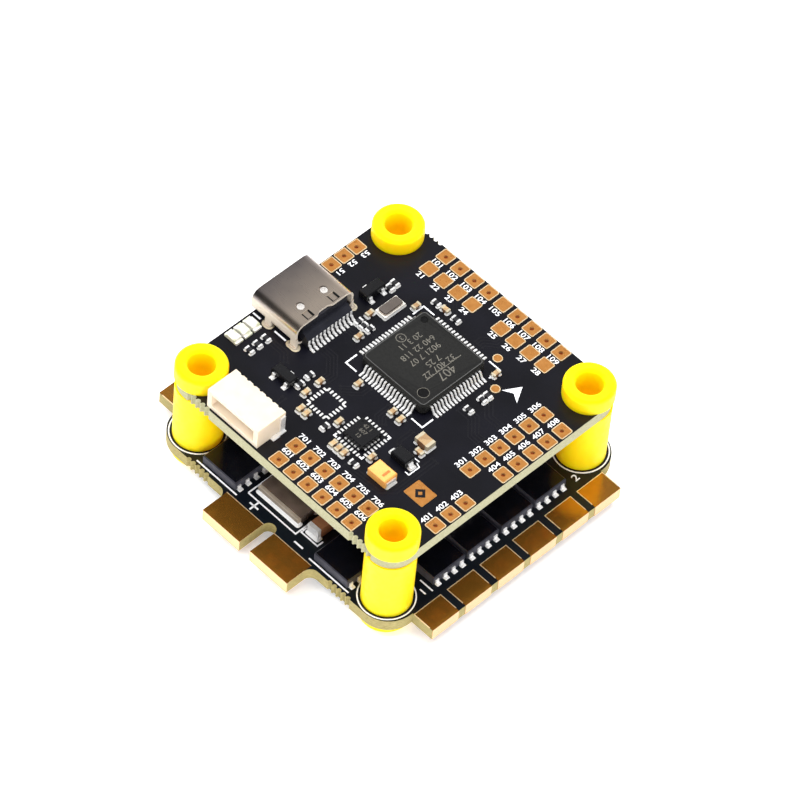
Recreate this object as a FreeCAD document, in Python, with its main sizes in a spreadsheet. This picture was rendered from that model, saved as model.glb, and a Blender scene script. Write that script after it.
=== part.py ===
# Flight stack: a flight controller board above a four-in-one motor driver board, held apart by four
# silicone grommets.  +Y points forward, +X to the right and +Z up.  The origin is the centre of the
# mounting hole pattern, level with the lower faces of the grommets.
import FreeCAD, Part
import math
import os

import Sketcher
from FreeCAD import Placement, Rotation, Vector

# Driving dimensions in millimetres: alias, value, meaning.
DIMENSIONS = (
    ("hole_pitch", 30.5, "mounting hole spacing, both ways"),
    ("hole_radius", 2.0, "mounting hole in both boards"),
    ("fc_size", 36.0, "side of the flight controller board"),
    ("fc_corner", 2.9, "corner radius of the flight controller board"),
    ("board_thickness", 1.6, "both laminates"),
    ("board_gap", 8.7, "clear height between the two boards"),
    ("driver_width", 37.8, "motor driver board across its rounded corners"),
    ("driver_depth", 37.4, "motor driver board, front to back"),
    ("driver_corner", 3.6, "corner radius of the motor driver board"),
    ("driver_wing_reach", 22.1, "middle of the board to the ends of the motor pads"),
    ("driver_wing_length", 29.6, "row of motor pads, end to end"),
    ("tab_reach", 22.4, "middle of the board to the ends of the battery tabs"),
    ("tab_width", 5.95, "one battery tab"),
    ("tab_slot", 1.7, "gap between the battery tabs"),
    ("tab_fillet", 1.1, "inside corner beside the battery tabs"),
    ("bite_radius", 0.28, "perforation left by the panel's breakaway bridges"),
    ("bite_pitch", 0.72, "spacing of the perforations"),
    ("grommet_radius", 3.05, "cap and flange of the silicone grommet"),
    ("grommet_column", 2.92, "silicone column between the boards"),
    ("grommet_bore", 1.6, "bore for a standard three millimetre screw"),
    ("grommet_flange", 1.4, "flange below the motor driver board"),
    ("grommet_cap", 2.1, "cap above the flight controller board"),
    ("grommet_round", 0.45, "rounded rims of the grommet"),
    ("pad_size", 1.72, "square solder pad"),
    ("pad_corner", 0.25, "corner radius of a solder pad"),
    ("pad_pitch", 2.3, "spacing of the solder pads"),
    ("pad_hole", 0.27, "plated hole of a solder pad"),
    ("test_dot_radius", 0.55, "round test pad"),
    ("plating", 0.05, "thickness of the exposed copper and its gold"),
    ("front_outer_row", 17.04, "y of the outer front row of pads"),
    ("front_inner_row", 14.4, "y of the inner front row of pads"),
    ("right_inner_column", 14.06, "x of the inner right column of pads"),
    ("right_outer_column", 16.98, "x of the outer right column of pads"),
    ("rear_outer_row", -16.94, "y of the outer rear row of pads"),
    ("rear_inner_row", -14.25, "y of the inner rear row of pads"),
    ("left_column", -17.0, "x of the left column of pads"),
    ("motor_pad_width", 4.05, "motor pad along the board edge"),
    ("motor_pad_pitch", 5.1, "spacing of the motor pads"),
    ("motor_pad_depth", 2.95, "motor pad from the edge inwards"),
    ("mcu_x", 0.28, "processor centre"),
    ("mcu_y", 4.07, "processor centre"),
    ("mcu_size", 10.0, "processor package side"),
    ("mcu_height", 1.4, "processor package height"),
    ("mcu_standoff", 0.1, "gap below the processor package"),
    ("mcu_lead_pitch", 0.5, "processor lead spacing"),
    ("mcu_lead_count", 16, "leads on each side"),
    ("mcu_lead_reach", 1.0, "lead tip beyond the package side"),
    ("mcu_lead_width", 0.23, "processor lead"),
    ("mcu_lead_thickness", 0.13, "processor lead"),
    ("mcu_dot_radius", 0.7, "pin one recess"),
    ("mcu_dot_inset", 1.55, "pin one recess from the package sides"),
    ("mcu_mark_radius", 0.45, "ejector mark in the opposite corner"),
    ("mcu_mark_inset", 1.1, "ejector mark from the package sides"),
    ("mcu_recess_depth", 0.12, "both round recesses"),
    ("mcu_corner", 0.45, "bevelled upright corners of the package"),
    ("mcu_top_bevel", 0.22, "bevel round the top of the package"),
    ("mcu_bottom_bevel", 0.16, "bevel round the bottom of the package"),
    ("usb_y", -0.4, "receptacle centre line"),
    ("usb_mouth_x", -18.2, "front rim of the receptacle"),
    ("usb_length", 7.15, "receptacle shell"),
    ("usb_width", 8.94, "receptacle shell"),
    ("usb_height", 3.16, "receptacle shell"),
    ("usb_lift", 0.1, "shell above the board"),
    ("usb_wall", 0.3, "shell sheet metal"),
    ("usb_corner", 1.2, "outer corner radius of the shell"),
    ("usb_leg_depth", 1.1, "solder legs of the shell, into the board"),
    ("usb_block_length", 0.95, "insulator behind the shell"),
    ("usb_block_height", 1.8, "insulator behind the shell"),
    ("usb_tongue_length", 4.2, "contact tongue"),
    ("usb_tongue_width", 6.69, "contact tongue"),
    ("usb_tongue_height", 0.7, "contact tongue"),
    ("usb_finger_y", 1.95, "spring fingers from the receptacle centre line"),
    ("usb_finger_length", 1.0, "spring finger"),
    ("usb_finger_width", 0.9, "spring finger"),
    ("usb_finger_drop", 0.14, "spring finger below the shell top"),
    ("usb_finger_slit", 0.13, "slit round the spring finger"),
    ("usb_finger_margin", 0.2, "spring finger slit from the rear rim"),
    ("usb_dimple_x", 2.2, "dimples from the rear rim"),
    ("usb_dimple_y", 1.8, "dimples from the receptacle centre line"),
    ("usb_dimple_radius", 0.42, "dimple pressed into the shell"),
    ("usb_dimple_depth", 0.14, "dimple pressed into the shell"),
    ("usb_notch_depth", 0.28, "shallow notch in the rear rim"),
    ("usb_notch_width", 2.4, "shallow notch in the rear rim"),
    ("usb_slot_margin", 0.3, "board slot beyond the shell leg"),
    ("usb_leg_width", 0.9, "shell leg along the board edge"),
    ("jst_pitch", 1.0, "wire connector pin spacing"),
    ("jst_depth", 4.25, "wire connector, front to back"),
    ("jst_height", 2.95, "wire connector height"),
    ("jst_wall", 0.5, "wire connector walls"),
    ("jst_margin", 3.0, "housing length beyond the pin rows"),
    ("jst_scallop", 0.24, "scallop in the rear of the housing between two pins"),
    ("uart_x", -7.65, "six-pin connector centre"),
    ("uart_y", -15.6, "six-pin connector centre"),
    ("fc_link_y", 13.9, "eight-pin connector below the flight controller"),
    ("driver_link_y", 16.35, "eight-pin connector on the motor driver board"),
    ("gyro_x", 2.85, "motion sensor centre"),
    ("gyro_y", -7.85, "motion sensor centre"),
    ("gyro_size", 3.0, "motion sensor package side"),
    ("gyro_height", 0.8, "motion sensor package height"),
    ("gyro_terminal_reach", 0.16, "motion sensor terminal outside the package"),
    ("gyro_bevel", 0.06, "bevel round the top of the motion sensor"),
    ("gyro_dot_radius", 0.16, "pin one dot of the motion sensor"),
    ("gyro_dot_inset", 0.5, "pin one dot from the package sides"),
    ("gyro_dot_depth", 0.05, "pin one dot of the motion sensor"),
    ("crystal_x", -8.05, "crystal centre"),
    ("crystal_y", 7.1, "crystal centre"),
    ("crystal_length", 3.2, "crystal"),
    ("crystal_width", 1.6, "crystal"),
    ("crystal_base", 0.35, "ceramic base of the crystal"),
    ("crystal_lid", 0.3, "metal lid of the crystal"),
    ("crystal_margin", 0.15, "ceramic showing round the lid"),
    ("crystal_corner", 0.3, "upright corners of the lid"),
    ("crystal_round", 0.1, "rounded rim of the lid"),
    ("tantalum_length", 2.7, "tantalum capacitor body"),
    ("tantalum_width", 1.9, "tantalum capacitor body"),
    ("tantalum_height", 1.2, "tantalum capacitor body"),
    ("mosfet_width", 4.9, "power transistor along its lead row"),
    ("mosfet_length", 5.3, "power transistor body across its lead row"),
    ("mosfet_height", 1.25, "power transistor"),
    ("mosfet_bevel", 0.12, "bevel round the top of a power transistor"),
    ("mosfet_lead_pitch", 1.27, "leads of a power transistor"),
    ("mosfet_lead_width", 0.5, "leads of a power transistor"),
    ("mosfet_lead_reach", 0.45, "lead beyond the package"),
    ("mosfet_lead_rise", 0.6, "lead up the side of the package"),
    ("mosfet_drain_reach", 0.25, "wide metal edge opposite the leads"),
    ("mosfet_pitch", 5.3, "spacing of the power transistors"),
    ("mosfet_column_x", 15.0, "centre line of the side columns of power transistors"),
    ("mosfet_row_y", 15.4, "centre line of the front and rear pairs"),
    ("mosfet_row_x", 9.0, "front and rear pairs from the middle"),
    ("shunt_x", -1.35, "current sensing resistor centre"),
    ("shunt_y", -14.45, "current sensing resistor centre"),
    ("shunt_length", 6.4, "current sensing resistor"),
    ("shunt_width", 3.2, "current sensing resistor"),
    ("shunt_height", 1.2, "current sensing resistor"),
    ("shunt_terminal", 0.5, "metal along each long side of the resistor"),
    ("inductor_size", 4.0, "power inductor side"),
    ("inductor_height", 2.0, "power inductor height"),
    ("switch_y", -8.4, "boot switch centre along the left edge"),
    ("switch_length", 3.9, "boot switch along the edge"),
    ("switch_depth", 2.6, "boot switch case"),
    ("switch_height", 1.8, "boot switch case"),
    ("switch_wall", 0.3, "boot switch case walls"),
    ("switch_corner", 0.25, "bevelled corners of the boot switch case"),
    ("button_width", 1.7, "boot button"),
    ("button_height", 0.9, "boot button"),
    ("button_reach", 0.7, "boot button beyond its case"),
    ("button_travel", 0.25, "boot button travel"),
    ("button_clearance", 0.05, "gap round the boot button"),
    ("button_round", 0.15, "rounded tip of the boot button"),
)

# Rows of solder pads: the row's alias, the axis it runs along, its first pad, the number of pads,
# the pitch factor and whether the pads have plated holes.
PAD_ROWS = (
    ("front_outer_row", "x", -9.25, 9, 1.0, True),
    ("front_inner_row", "x", -9.25, 4, 1.0, False),
    ("front_inner_row", "x", 2.25, 4, 1.0, False),
    ("right_inner_column", "y", -2.14, 6, 1.0, True),
    ("right_outer_column", "y", 0.1, 5, 1.0, True),
    ("right_outer_column", "y", -10.34, 3, 1.0, True),
    ("rear_outer_row", "x", -0.93, 6, 1.0, True),
    ("rear_inner_row", "x", -1.05, 6, 1.0, True),
    ("left_column", "y", 6.5, 3, 0.86, True),
)

# Breakaway perforations: first x and count, on the rear edge and on the front edge.
FC_BITES = ((-14.2, 5, -1), (11.6, 5, -1), (-14.0, 5, 1))
DRIVER_BITES = ((-13.0, 5, -1), (9.8, 5, -1))

# Solder legs of the receptacle shell along X, one pair on each side.
SHELL_LEG_X = (-15.5, -11.4)

# Small parts: x, y and turn in degrees; a part's length runs along X before it is turned.
CAPACITORS_0402 = (
    (-2.6, -3.2, 90),
    (2.75, -3.1, 90),
    (4.1, -3.2, 90),
    (-5.65, -6.2, 90),
    (-5.6, -8.4, 90),
    (-0.2, -8.5, 90),
    (-4.3, -10.4, 90),
    (-3.4, -10.4, 90),
    (1.6, -11.1, 90),
    (2.45, -11.1, 90),
    (3.3, -11.1, 90),
    (5.75, -9.2, 90),
    (-6.25, 9.35, 90),
    (6.55, 9.3, 90),
    (-8.95, 4.7, 90),
    (-7.4, 1.5, 90),
    (-3.7, 11.5, 0),
    (8.75, -4.75, 0),
)
RESISTORS_0402 = (
    (-7.1, -6.4, 90),
    (-6.9, -8.1, 90),
    (-0.8, -10.1, 90),
    (-5.1, 11.45, 0),
    (-1.95, 11.45, 0),
    (8.1, 6.5, 0),
    (8.1, 5.65, 0),
    (8.1, 3.55, 0),
    (-9.0, 3.0, 90),
    (-8.2, 3.0, 90),
    (-7.4, 3.2, 90),
    (-10.25, 9.95, 0),
    (-10.15, 9.05, 0),
    (-14.1, -6.4, 0),
    (-14.1, -7.7, 0),
    (-14.1, -8.95, 0),
    (5.0, -11.2, 0),
)
LARGE_CAPACITORS = ((8.25, -3.45, 0),)
TRANSISTORS = ((-11.1, 7.15, -90), (-8.75, -8.65, 180))
RECTIFIERS = ((8.1, -6.75, 0),)
TANTALUMS = ((8.35, -10.15, 0),)
REGULATORS = ((-12.9, 1.4, 0), (-8.6, 1.4, 0))
BAROMETERS = ((9.6, -10.4, 0),)
OSD_PLACE = (-1.5, -3.2)
FLASH_CORNER = (-3.0, 3.2)
FC_INDUCTORS = ((-10.0, -11.6), (-4.8, -12.2))
DRIVER_INDUCTOR = (3.4, 0.0)
DRIVER_SUPPLIES = ((-2.6, 0.6, 0), (-7.6, -0.2, 90))
TEST_DOTS = ((5.0, 11.15), (7.9, 7.9))
STATUS_LEDS = ((-16.6, -6.2, 0), (-16.6, -7.6, 0), (-16.6, -9.0, 0))
FC_LOWER_CAPACITORS = (
    (6.5, -3.0, 0),
    (6.5, -4.4, 0),
    (6.5, -5.8, 0),
    (-11.5, 5.0, 90),
    (-10.2, 5.0, 90),
    (-8.9, 5.0, 90),
    (10.6, 3.2, 90),
    (10.6, 0.6, 90),
    (-3.0, -8.2, 0),
    (0.0, -8.2, 0),
    (3.0, -8.2, 0),
)
DRIVER_BULK_CAPACITORS = (
    (3.95, -14.2, 90),
    (-8.2, -10.3, 0),
    (-4.6, -10.3, 0),
    (4.6, -10.3, 0),
    (8.2, -10.3, 0),
    (-8.2, 10.6, 0),
    (8.2, 10.6, 0),
    (-4.4, 10.6, 0),
    (4.4, 10.6, 0),
)
DRIVER_QUADRANTS = ((-1, -1), (1, -1), (1, 1), (-1, 1))
GATE_DRIVER_PLACE = (9.2, 5.4)
MOTOR_PROCESSOR_PLACE = (3.9, 6.2)

# Chip bodies: length, width and height.
PACKAGES = {
    "small_capacitor": (1.05, 0.55, 0.52),
    "large_capacitor": (2.0, 1.25, 0.95),
    "lower_capacitor": (1.6, 0.8, 0.8),
    "bulk_capacitor": (3.2, 1.6, 1.6),
    "resistor": (1.05, 0.55, 0.35),
    "transistor": (2.9, 1.35, 0.95),
    "rectifier": (2.3, 1.5, 1.0),
    "led_base": (2.0, 1.1, 0.3),
    "led_lens": (1.3, 1.1, 0.35),
    "osd": (9.7, 4.4, 1.0),
    "flash": (6.0, 5.0, 0.8),
    "barometer": (2.5, 2.0, 0.95),
    "regulator": (3.0, 3.0, 0.85),
    "driver_chip": (4.0, 4.0, 0.8),
    "driver_supply": (2.9, 1.6, 0.95),
}
STANDOFF = 0.08
TRIM_HEIGHT = 3.0

document = FreeCAD.newDocument("flight_stack")
sizes = document.addObject("Spreadsheet::Sheet", "sizes")
for row, (alias, value, meaning) in enumerate(DIMENSIONS, start=1):
    sizes.set(f"A{row}", alias)
    sizes.set(f"B{row}", str(value))
    sizes.set(f"C{row}", meaning)
    sizes.setAlias(f"B{row}", alias)
document.recompute()


def size(alias):
    """The value of one driving dimension."""
    return float(sizes.get(alias))


DRIVER_BOTTOM = size("grommet_flange")
DRIVER_TOP = DRIVER_BOTTOM + size("board_thickness")
FC_BOTTOM = DRIVER_TOP + size("board_gap")
FC_TOP = FC_BOTTOM + size("board_thickness")
X_AXIS = Vector(1, 0, 0)
Z_AXIS = Vector(0, 0, 1)


# ---- Sketch and body helpers ----


def new_body(label):
    body = document.addObject("PartDesign::Body", label)
    body.Label = label
    return body


def new_sketch(body, name, role="XY_Plane", offset=None):
    """A sketch on one of the body's own origin planes, raised by an expression."""
    plane = next(item for item in body.Origin.OriginFeatures if item.Role == role)
    sketch = body.newObject("Sketcher::SketchObject", name)
    sketch.AttachmentSupport = [(plane, "")]
    sketch.MapMode = "FlatFace"
    if offset:
        sketch.setExpression("AttachmentOffset.Base.z", offset)
    return sketch


def bind(sketch, kind, *references, to):
    """A dimension of the sketch whose value comes from an expression."""
    index = sketch.addConstraint(Sketcher.Constraint(kind, *references, 1.0))
    sketch.setExpression(f"Constraints[{index}]", to)


def rectangle(sketch, left, right, bottom, top):
    """A rectangle whose sides lie at four expressions measured from the sketch's origin."""
    first = sketch.GeometryCount
    corners = (Vector(-1, -1, 0), Vector(1, -1, 0), Vector(1, 1, 0), Vector(-1, 1, 0))
    for index, corner in enumerate(corners):
        sketch.addGeometry(Part.LineSegment(corner, corners[(index + 1) % 4]))
    for index in range(4):
        follower = first + (index + 1) % 4
        sketch.addConstraint(Sketcher.Constraint("Coincident", first + index, 2, follower, 1))
    for index in (0, 2):
        sketch.addConstraint(Sketcher.Constraint("Horizontal", first + index))
        sketch.addConstraint(Sketcher.Constraint("Vertical", first + index + 1))
    bind(sketch, "DistanceX", -1, 1, first, 1, to=left)
    bind(sketch, "DistanceY", -1, 1, first, 1, to=bottom)
    bind(sketch, "DistanceX", -1, 1, first + 2, 1, to=right)
    bind(sketch, "DistanceY", -1, 1, first + 2, 1, to=top)


def centred_rectangle(sketch, width, depth):
    """A rectangle about the sketch's origin."""
    rectangle(sketch, f"-({width}) / 2", f"({width}) / 2", f"-({depth}) / 2", f"({depth}) / 2")


def circle(sketch, x, y, radius):
    """A circle whose centre and radius are expressions."""
    index = sketch.GeometryCount
    sketch.addGeometry(Part.Circle(Vector(1, 1, 0), Z_AXIS, 1.0))
    bind(sketch, "DistanceX", -1, 1, index, 3, to=x)
    bind(sketch, "DistanceY", -1, 1, index, 3, to=y)
    bind(sketch, "Radius", index, to=radius)


def outline(sketch, points):
    """A closed outline through points given as pairs of expressions."""
    first = sketch.GeometryCount
    count = len(points)
    for index in range(count):
        angle = math.tau * index / count
        following = math.tau * (index + 1) / count
        start = Vector(math.cos(angle), math.sin(angle), 0)
        end = Vector(math.cos(following), math.sin(following), 0)
        sketch.addGeometry(Part.LineSegment(start, end))
    for index, (x, y) in enumerate(points):
        previous = first + (index - 1) % count
        sketch.addConstraint(Sketcher.Constraint("Coincident", previous, 2, first + index, 1))
        bind(sketch, "DistanceX", -1, 1, first + index, 1, to=x)
        bind(sketch, "DistanceY", -1, 1, first + index, 1, to=y)


def pad(body, sketch, length, name="Pad"):
    feature = body.newObject("PartDesign::Pad", name)
    feature.Profile = sketch
    feature.setExpression("Length", length)
    document.recompute()
    return feature


def pocket(body, sketch, depth=None, reverse=False, name="Pocket"):
    """A cut from the sketch, right through unless a depth is given; it must remove material."""
    before = body.Shape.Volume
    feature = body.newObject("PartDesign::Pocket", name)
    feature.Profile = sketch
    feature.Reversed = reverse
    if depth:
        feature.setExpression("Length", depth)
    else:
        feature.Type = "ThroughAll"
        feature.Midplane = True
    document.recompute()
    if body.Shape.Volume >= before:
        raise RuntimeError(f"{body.Label}: {name} removed nothing")
    return feature


def edges_where(shape, test):
    return [f"Edge{index}" for index, edge in enumerate(shape.Edges, start=1) if test(edge)]


def is_upright(edge):
    start, end = edge.Vertexes[0].Point, edge.Vertexes[-1].Point
    return math.hypot(start.x - end.x, start.y - end.y) < 1e-6 and abs(start.z - end.z) > 1e-6


def lies_at_height(edge, height):
    return all(abs(vertex.Point.z - height) < 1e-6 for vertex in edge.Vertexes)


def dress(body, kind, names, amount_property, amount):
    """A fillet or chamfer of the named edges of the body's last feature."""
    base = body.Tip
    feature = body.newObject(f"PartDesign::{kind}", kind)
    feature.Base = (base, names)
    feature.setExpression(amount_property, amount)
    document.recompute()
    return feature


def fillet(body, names, radius):
    return dress(body, "Fillet", names, "Radius", radius)


def chamfer(body, names, width):
    return dress(body, "Chamfer", names, "Size", width)


def place(item, x=0.0, y=0.0, z=0.0, turn=0.0, tilt=0.0):
    """Stand a sub-part at a point, turned about the vertical; a tilt of 180 hangs it upside down."""
    rotation = Rotation(Z_AXIS, turn).multiply(Rotation(X_AXIS, tilt))
    item.Placement = Placement(Vector(x, y, z), rotation)


# ---- Shape helpers for groups of small identical pieces ----


def block(length, width, height, x=0.0, y=0.0, z=0.0):
    """A box centred on x and y and standing on z."""
    return Part.makeBox(length, width, height, Vector(x - length / 2, y - width / 2, z))


def rounded_block(length, width, height, radius, x=0.0, y=0.0, z=0.0):
    """A block with rounded upright edges."""
    solid = block(length, width, height, x, y, z)
    return solid.makeFillet(radius, [edge for edge in solid.Edges if is_upright(edge)])


def bevelled_block(length, width, height, bevel, x=0.0, y=0.0, z=0.0):
    """A block with a bevel round its top face."""
    solid = block(length, width, height, x, y, z)
    rim = [edge for edge in solid.Edges if lies_at_height(edge, z + height)]
    return solid.makeChamfer(bevel, rim)


def outside(lead, package):
    """The part of a lead that lies outside its package."""
    length, width, _ = PACKAGES[package]
    return lead.cut(block(length, width, TRIM_HEIGHT))


def moved(shape, x=0.0, y=0.0, z=0.0, turn=0.0, tilt=0.0):
    copy = shape.copy()
    rotation = Rotation(Z_AXIS, turn).multiply(Rotation(X_AXIS, tilt))
    copy.Placement = Placement(Vector(x, y, z), rotation).multiply(copy.Placement)
    return copy


def group(label, solids, x=0.0, y=0.0, z=0.0, turn=0.0, tilt=0.0):
    """One sub-part made of separate solids."""
    feature = document.addObject("Part::Feature", label)
    feature.Label = label
    feature.Shape = Part.makeCompound(list(solids))
    place(feature, x, y, z, turn, tilt)
    return feature


def gull_wing(reach, drop, thickness, width, foot):
    """A bent lead: a shoulder at the package, a slope, and a foot on the board, running along +X."""
    shoulder = 0.22 * reach
    toe = reach - foot
    lean = 0.35 * thickness
    points = (
        Vector(-0.15, 0, drop),
        Vector(shoulder - lean, 0, drop),
        Vector(toe - lean, 0, 0),
        Vector(reach, 0, 0),
        Vector(reach, 0, thickness),
        Vector(toe + lean, 0, thickness),
        Vector(shoulder + lean, 0, drop + thickness),
        Vector(-0.15, 0, drop + thickness),
    )
    profile = Part.Face(Part.makePolygon([*points, points[0]]))
    lead = profile.extrude(Vector(0, width, 0))
    lead.translate(Vector(0, -width / 2, 0))
    bends = {round(points[i].x, 4) for i in (1, 2, 5, 6)}
    creases = [
        edge
        for edge in lead.Edges
        if abs(edge.Length - width) < 1e-6 and round(edge.Vertexes[0].Point.x, 4) in bends
    ]
    return lead.makeFillet(0.6 * thickness, creases)


def around_square(shape, half, pitch, count):
    """Copies of a shape that points along +X, in a row on each of the four sides of a square."""
    for side in range(4):
        turn = 90.0 * side
        outward = Rotation(Z_AXIS, turn).multVec(X_AXIS)
        along = Vector(-outward.y, outward.x, 0)
        for index in range(count):
            spot = outward * half + along * ((index - (count - 1) / 2) * pitch)
            yield moved(shape, spot.x, spot.y, 0, turn)


def end_capped(length, width, height, cap):
    """The ceramic body and the two metal ends of a chip component."""
    wrap = 0.02
    body = block(length - 2 * cap, width, height)
    ends = [
        block(cap, width + 2 * wrap, height + wrap, side * (length - cap) / 2)
        for side in (-1, 1)
    ]
    return body, ends


def scatter(shapes, places, z, tilt=0.0):
    """Copies of some shapes at each place."""
    for x, y, turn in places:
        for shape in shapes:
            yield moved(shape, x, y, z, turn, tilt)


# ---- Boards ----


def solder_pads():
    """Every solder pad of the flight controller: x, y and whether it has a plated hole."""
    for row, axis, start, count, factor, holed in PAD_ROWS:
        for index in range(count):
            step = start + index * factor * size("pad_pitch")
            across = size(row)
            blind = row == "front_outer_row" and index == 4
            x, y = (step, across) if axis == "x" else (across, step)
            yield x, y, holed and not blind


def bite_row(sketch, start, count, edge):
    """Half holes left in an edge by the panel's breakaway bridge."""
    for index in range(count):
        circle(sketch, f"{start} + {index} * sizes.bite_pitch", edge, "sizes.bite_radius")


def mounting_holes(sketch):
    for side_x, side_y in DRIVER_QUADRANTS:
        x = f"{side_x} * sizes.hole_pitch / 2"
        y = f"{side_y} * sizes.hole_pitch / 2"
        circle(sketch, x, y, "sizes.hole_radius")


def make_fc_board():
    body = new_body("fc_board")
    sketch = new_sketch(body, "fc_outline")
    centred_rectangle(sketch, "sizes.fc_size", "sizes.fc_size")
    pad(body, sketch, "sizes.board_thickness")
    fillet(body, edges_where(body.Shape, is_upright), "sizes.fc_corner")
    holes = new_sketch(body, "fc_holes")
    mounting_holes(holes)
    pocket(body, holes, name="fc_mounting_holes")
    plated = new_sketch(body, "fc_plated_holes")
    for x, y, holed in solder_pads():
        if holed:
            circle(plated, f"{x}", f"{y}", "sizes.pad_hole + sizes.plating")
    pocket(body, plated, name="fc_plated")
    slots = new_sketch(body, "fc_shell_slots")
    for x in SHELL_LEG_X:
        for side in (-1, 1):
            middle = f"sizes.usb_y + {side} * (sizes.usb_width / 2 - sizes.usb_wall / 2)"
            half = "(sizes.usb_leg_width / 2 + sizes.usb_slot_margin)"
            rectangle(slots, f"{x} - {half}", f"{x} + {half}", f"{middle} - 0.3", f"{middle} + 0.3")
    pocket(body, slots, name="fc_slots")
    bites = new_sketch(body, "fc_bites")
    for start, count, side in FC_BITES:
        bite_row(bites, start, count, f"{side} * sizes.fc_size / 2")
    pocket(body, bites, name="fc_perforations")
    place(body, z=FC_BOTTOM)


def make_driver_board():
    body = new_body("driver_board")
    sketch = new_sketch(body, "driver_outline")
    centred_rectangle(sketch, "sizes.driver_width", "sizes.driver_depth")
    pad(body, sketch, "sizes.board_thickness")
    fillet(body, edges_where(body.Shape, is_upright), "sizes.driver_corner")
    wings = new_sketch(body, "driver_wings")
    reach = "sizes.driver_wing_reach - sizes.plating"
    half_row = "sizes.driver_wing_length / 2"
    rectangle(wings, f"-({reach})", reach, f"-{half_row}", half_row)
    pad(body, wings, "sizes.board_thickness", "WingPad")
    tabs = new_sketch(body, "driver_tabs")
    half_tabs = "(sizes.tab_width + sizes.tab_slot / 2)"
    tab_end = "-(sizes.tab_reach - sizes.plating)"
    rectangle(tabs, f"-{half_tabs}", half_tabs, tab_end, "-sizes.driver_depth / 4")
    pad(body, tabs, "sizes.board_thickness", "TabPad")
    root = size("driver_depth") / 2
    fillet(
        body,
        edges_where(
            body.Shape,
            lambda edge: is_upright(edge)
            and abs(edge.Vertexes[0].Point.y + root) < 1e-3
            and abs(edge.Vertexes[0].Point.x) < 8,
        ),
        "sizes.tab_fillet",
    )
    slot = new_sketch(body, "driver_slot")
    half_slot = "sizes.tab_slot / 2"
    rectangle(slot, f"-{half_slot}", half_slot, "-sizes.tab_reach - 1", "-sizes.driver_depth / 2")
    pocket(body, slot, name="driver_tab_slot")
    slot_end = new_sketch(body, "driver_slot_end")
    circle(slot_end, "0", "-sizes.driver_depth / 2", half_slot)
    pocket(body, slot_end, name="driver_tab_slot_end")
    holes = new_sketch(body, "driver_holes")
    mounting_holes(holes)
    pocket(body, holes, name="driver_mounting_holes")
    bites = new_sketch(body, "driver_bites")
    for start, count, side in DRIVER_BITES:
        bite_row(bites, start, count, f"{side} * sizes.driver_depth / 2")
    pocket(body, bites, name="driver_perforations")
    place(body, z=DRIVER_BOTTOM)


def make_fc_solder_pads():
    """Gold-plated pads; a holed one is a square on both faces joined by a plated barrel."""
    side = size("pad_size")
    plating = size("plating")
    thickness = size("board_thickness")
    corner = size("pad_corner")
    plate = rounded_block(side, side, plating, corner)
    rivet = plate.fuse(moved(plate, z=-thickness - plating))
    hole = size("pad_hole")
    barrel = Part.makeCylinder(hole + plating, thickness + plating, Vector(0, 0, -thickness))
    bore = Part.makeCylinder(hole, thickness + 4 * plating, Vector(0, 0, -thickness - 2 * plating))
    rivet = rivet.fuse(barrel).cut(bore).removeSplitter()
    solids = [moved(rivet if holed else plate, x, y) for x, y, holed in solder_pads()]
    solids += [Part.makeCylinder(size("test_dot_radius"), plating, Vector(x, y, 0)) for x, y in TEST_DOTS]
    group("fc_solder_pads", solids, z=FC_TOP)


def edge_plate(width, depth):
    """Metal wrapped round a board edge: top, edge and bottom faces, with the edge towards +X."""
    plating = size("plating")
    thickness = size("board_thickness")
    outer = block(depth, width, thickness + 2 * plating, -depth / 2, 0, -plating)
    core = block(depth, width + 1, thickness, -depth / 2 - plating, 0, 0)
    return outer.cut(core)


def make_motor_pads():
    plate = edge_plate(size("motor_pad_width"), size("motor_pad_depth"))
    for label, side in (("left_motor_pads", 180), ("right_motor_pads", 0)):
        solids = [
            moved(plate, size("driver_wing_reach"), (index - 2.5) * size("motor_pad_pitch"), 0)
            for index in range(6)
        ]
        group(label, solids, z=DRIVER_BOTTOM, turn=side)


def make_battery_pads():
    """Gold skin over both battery tabs."""
    plate = edge_plate(size("tab_width"), size("tab_reach") - size("driver_depth") / 2)
    offset = (size("tab_width") + size("tab_slot")) / 2
    solids = [moved(plate, side * offset, -size("tab_reach"), 0, -90) for side in (-1, 1)]
    group("battery_pads", solids, z=DRIVER_BOTTOM)


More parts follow.
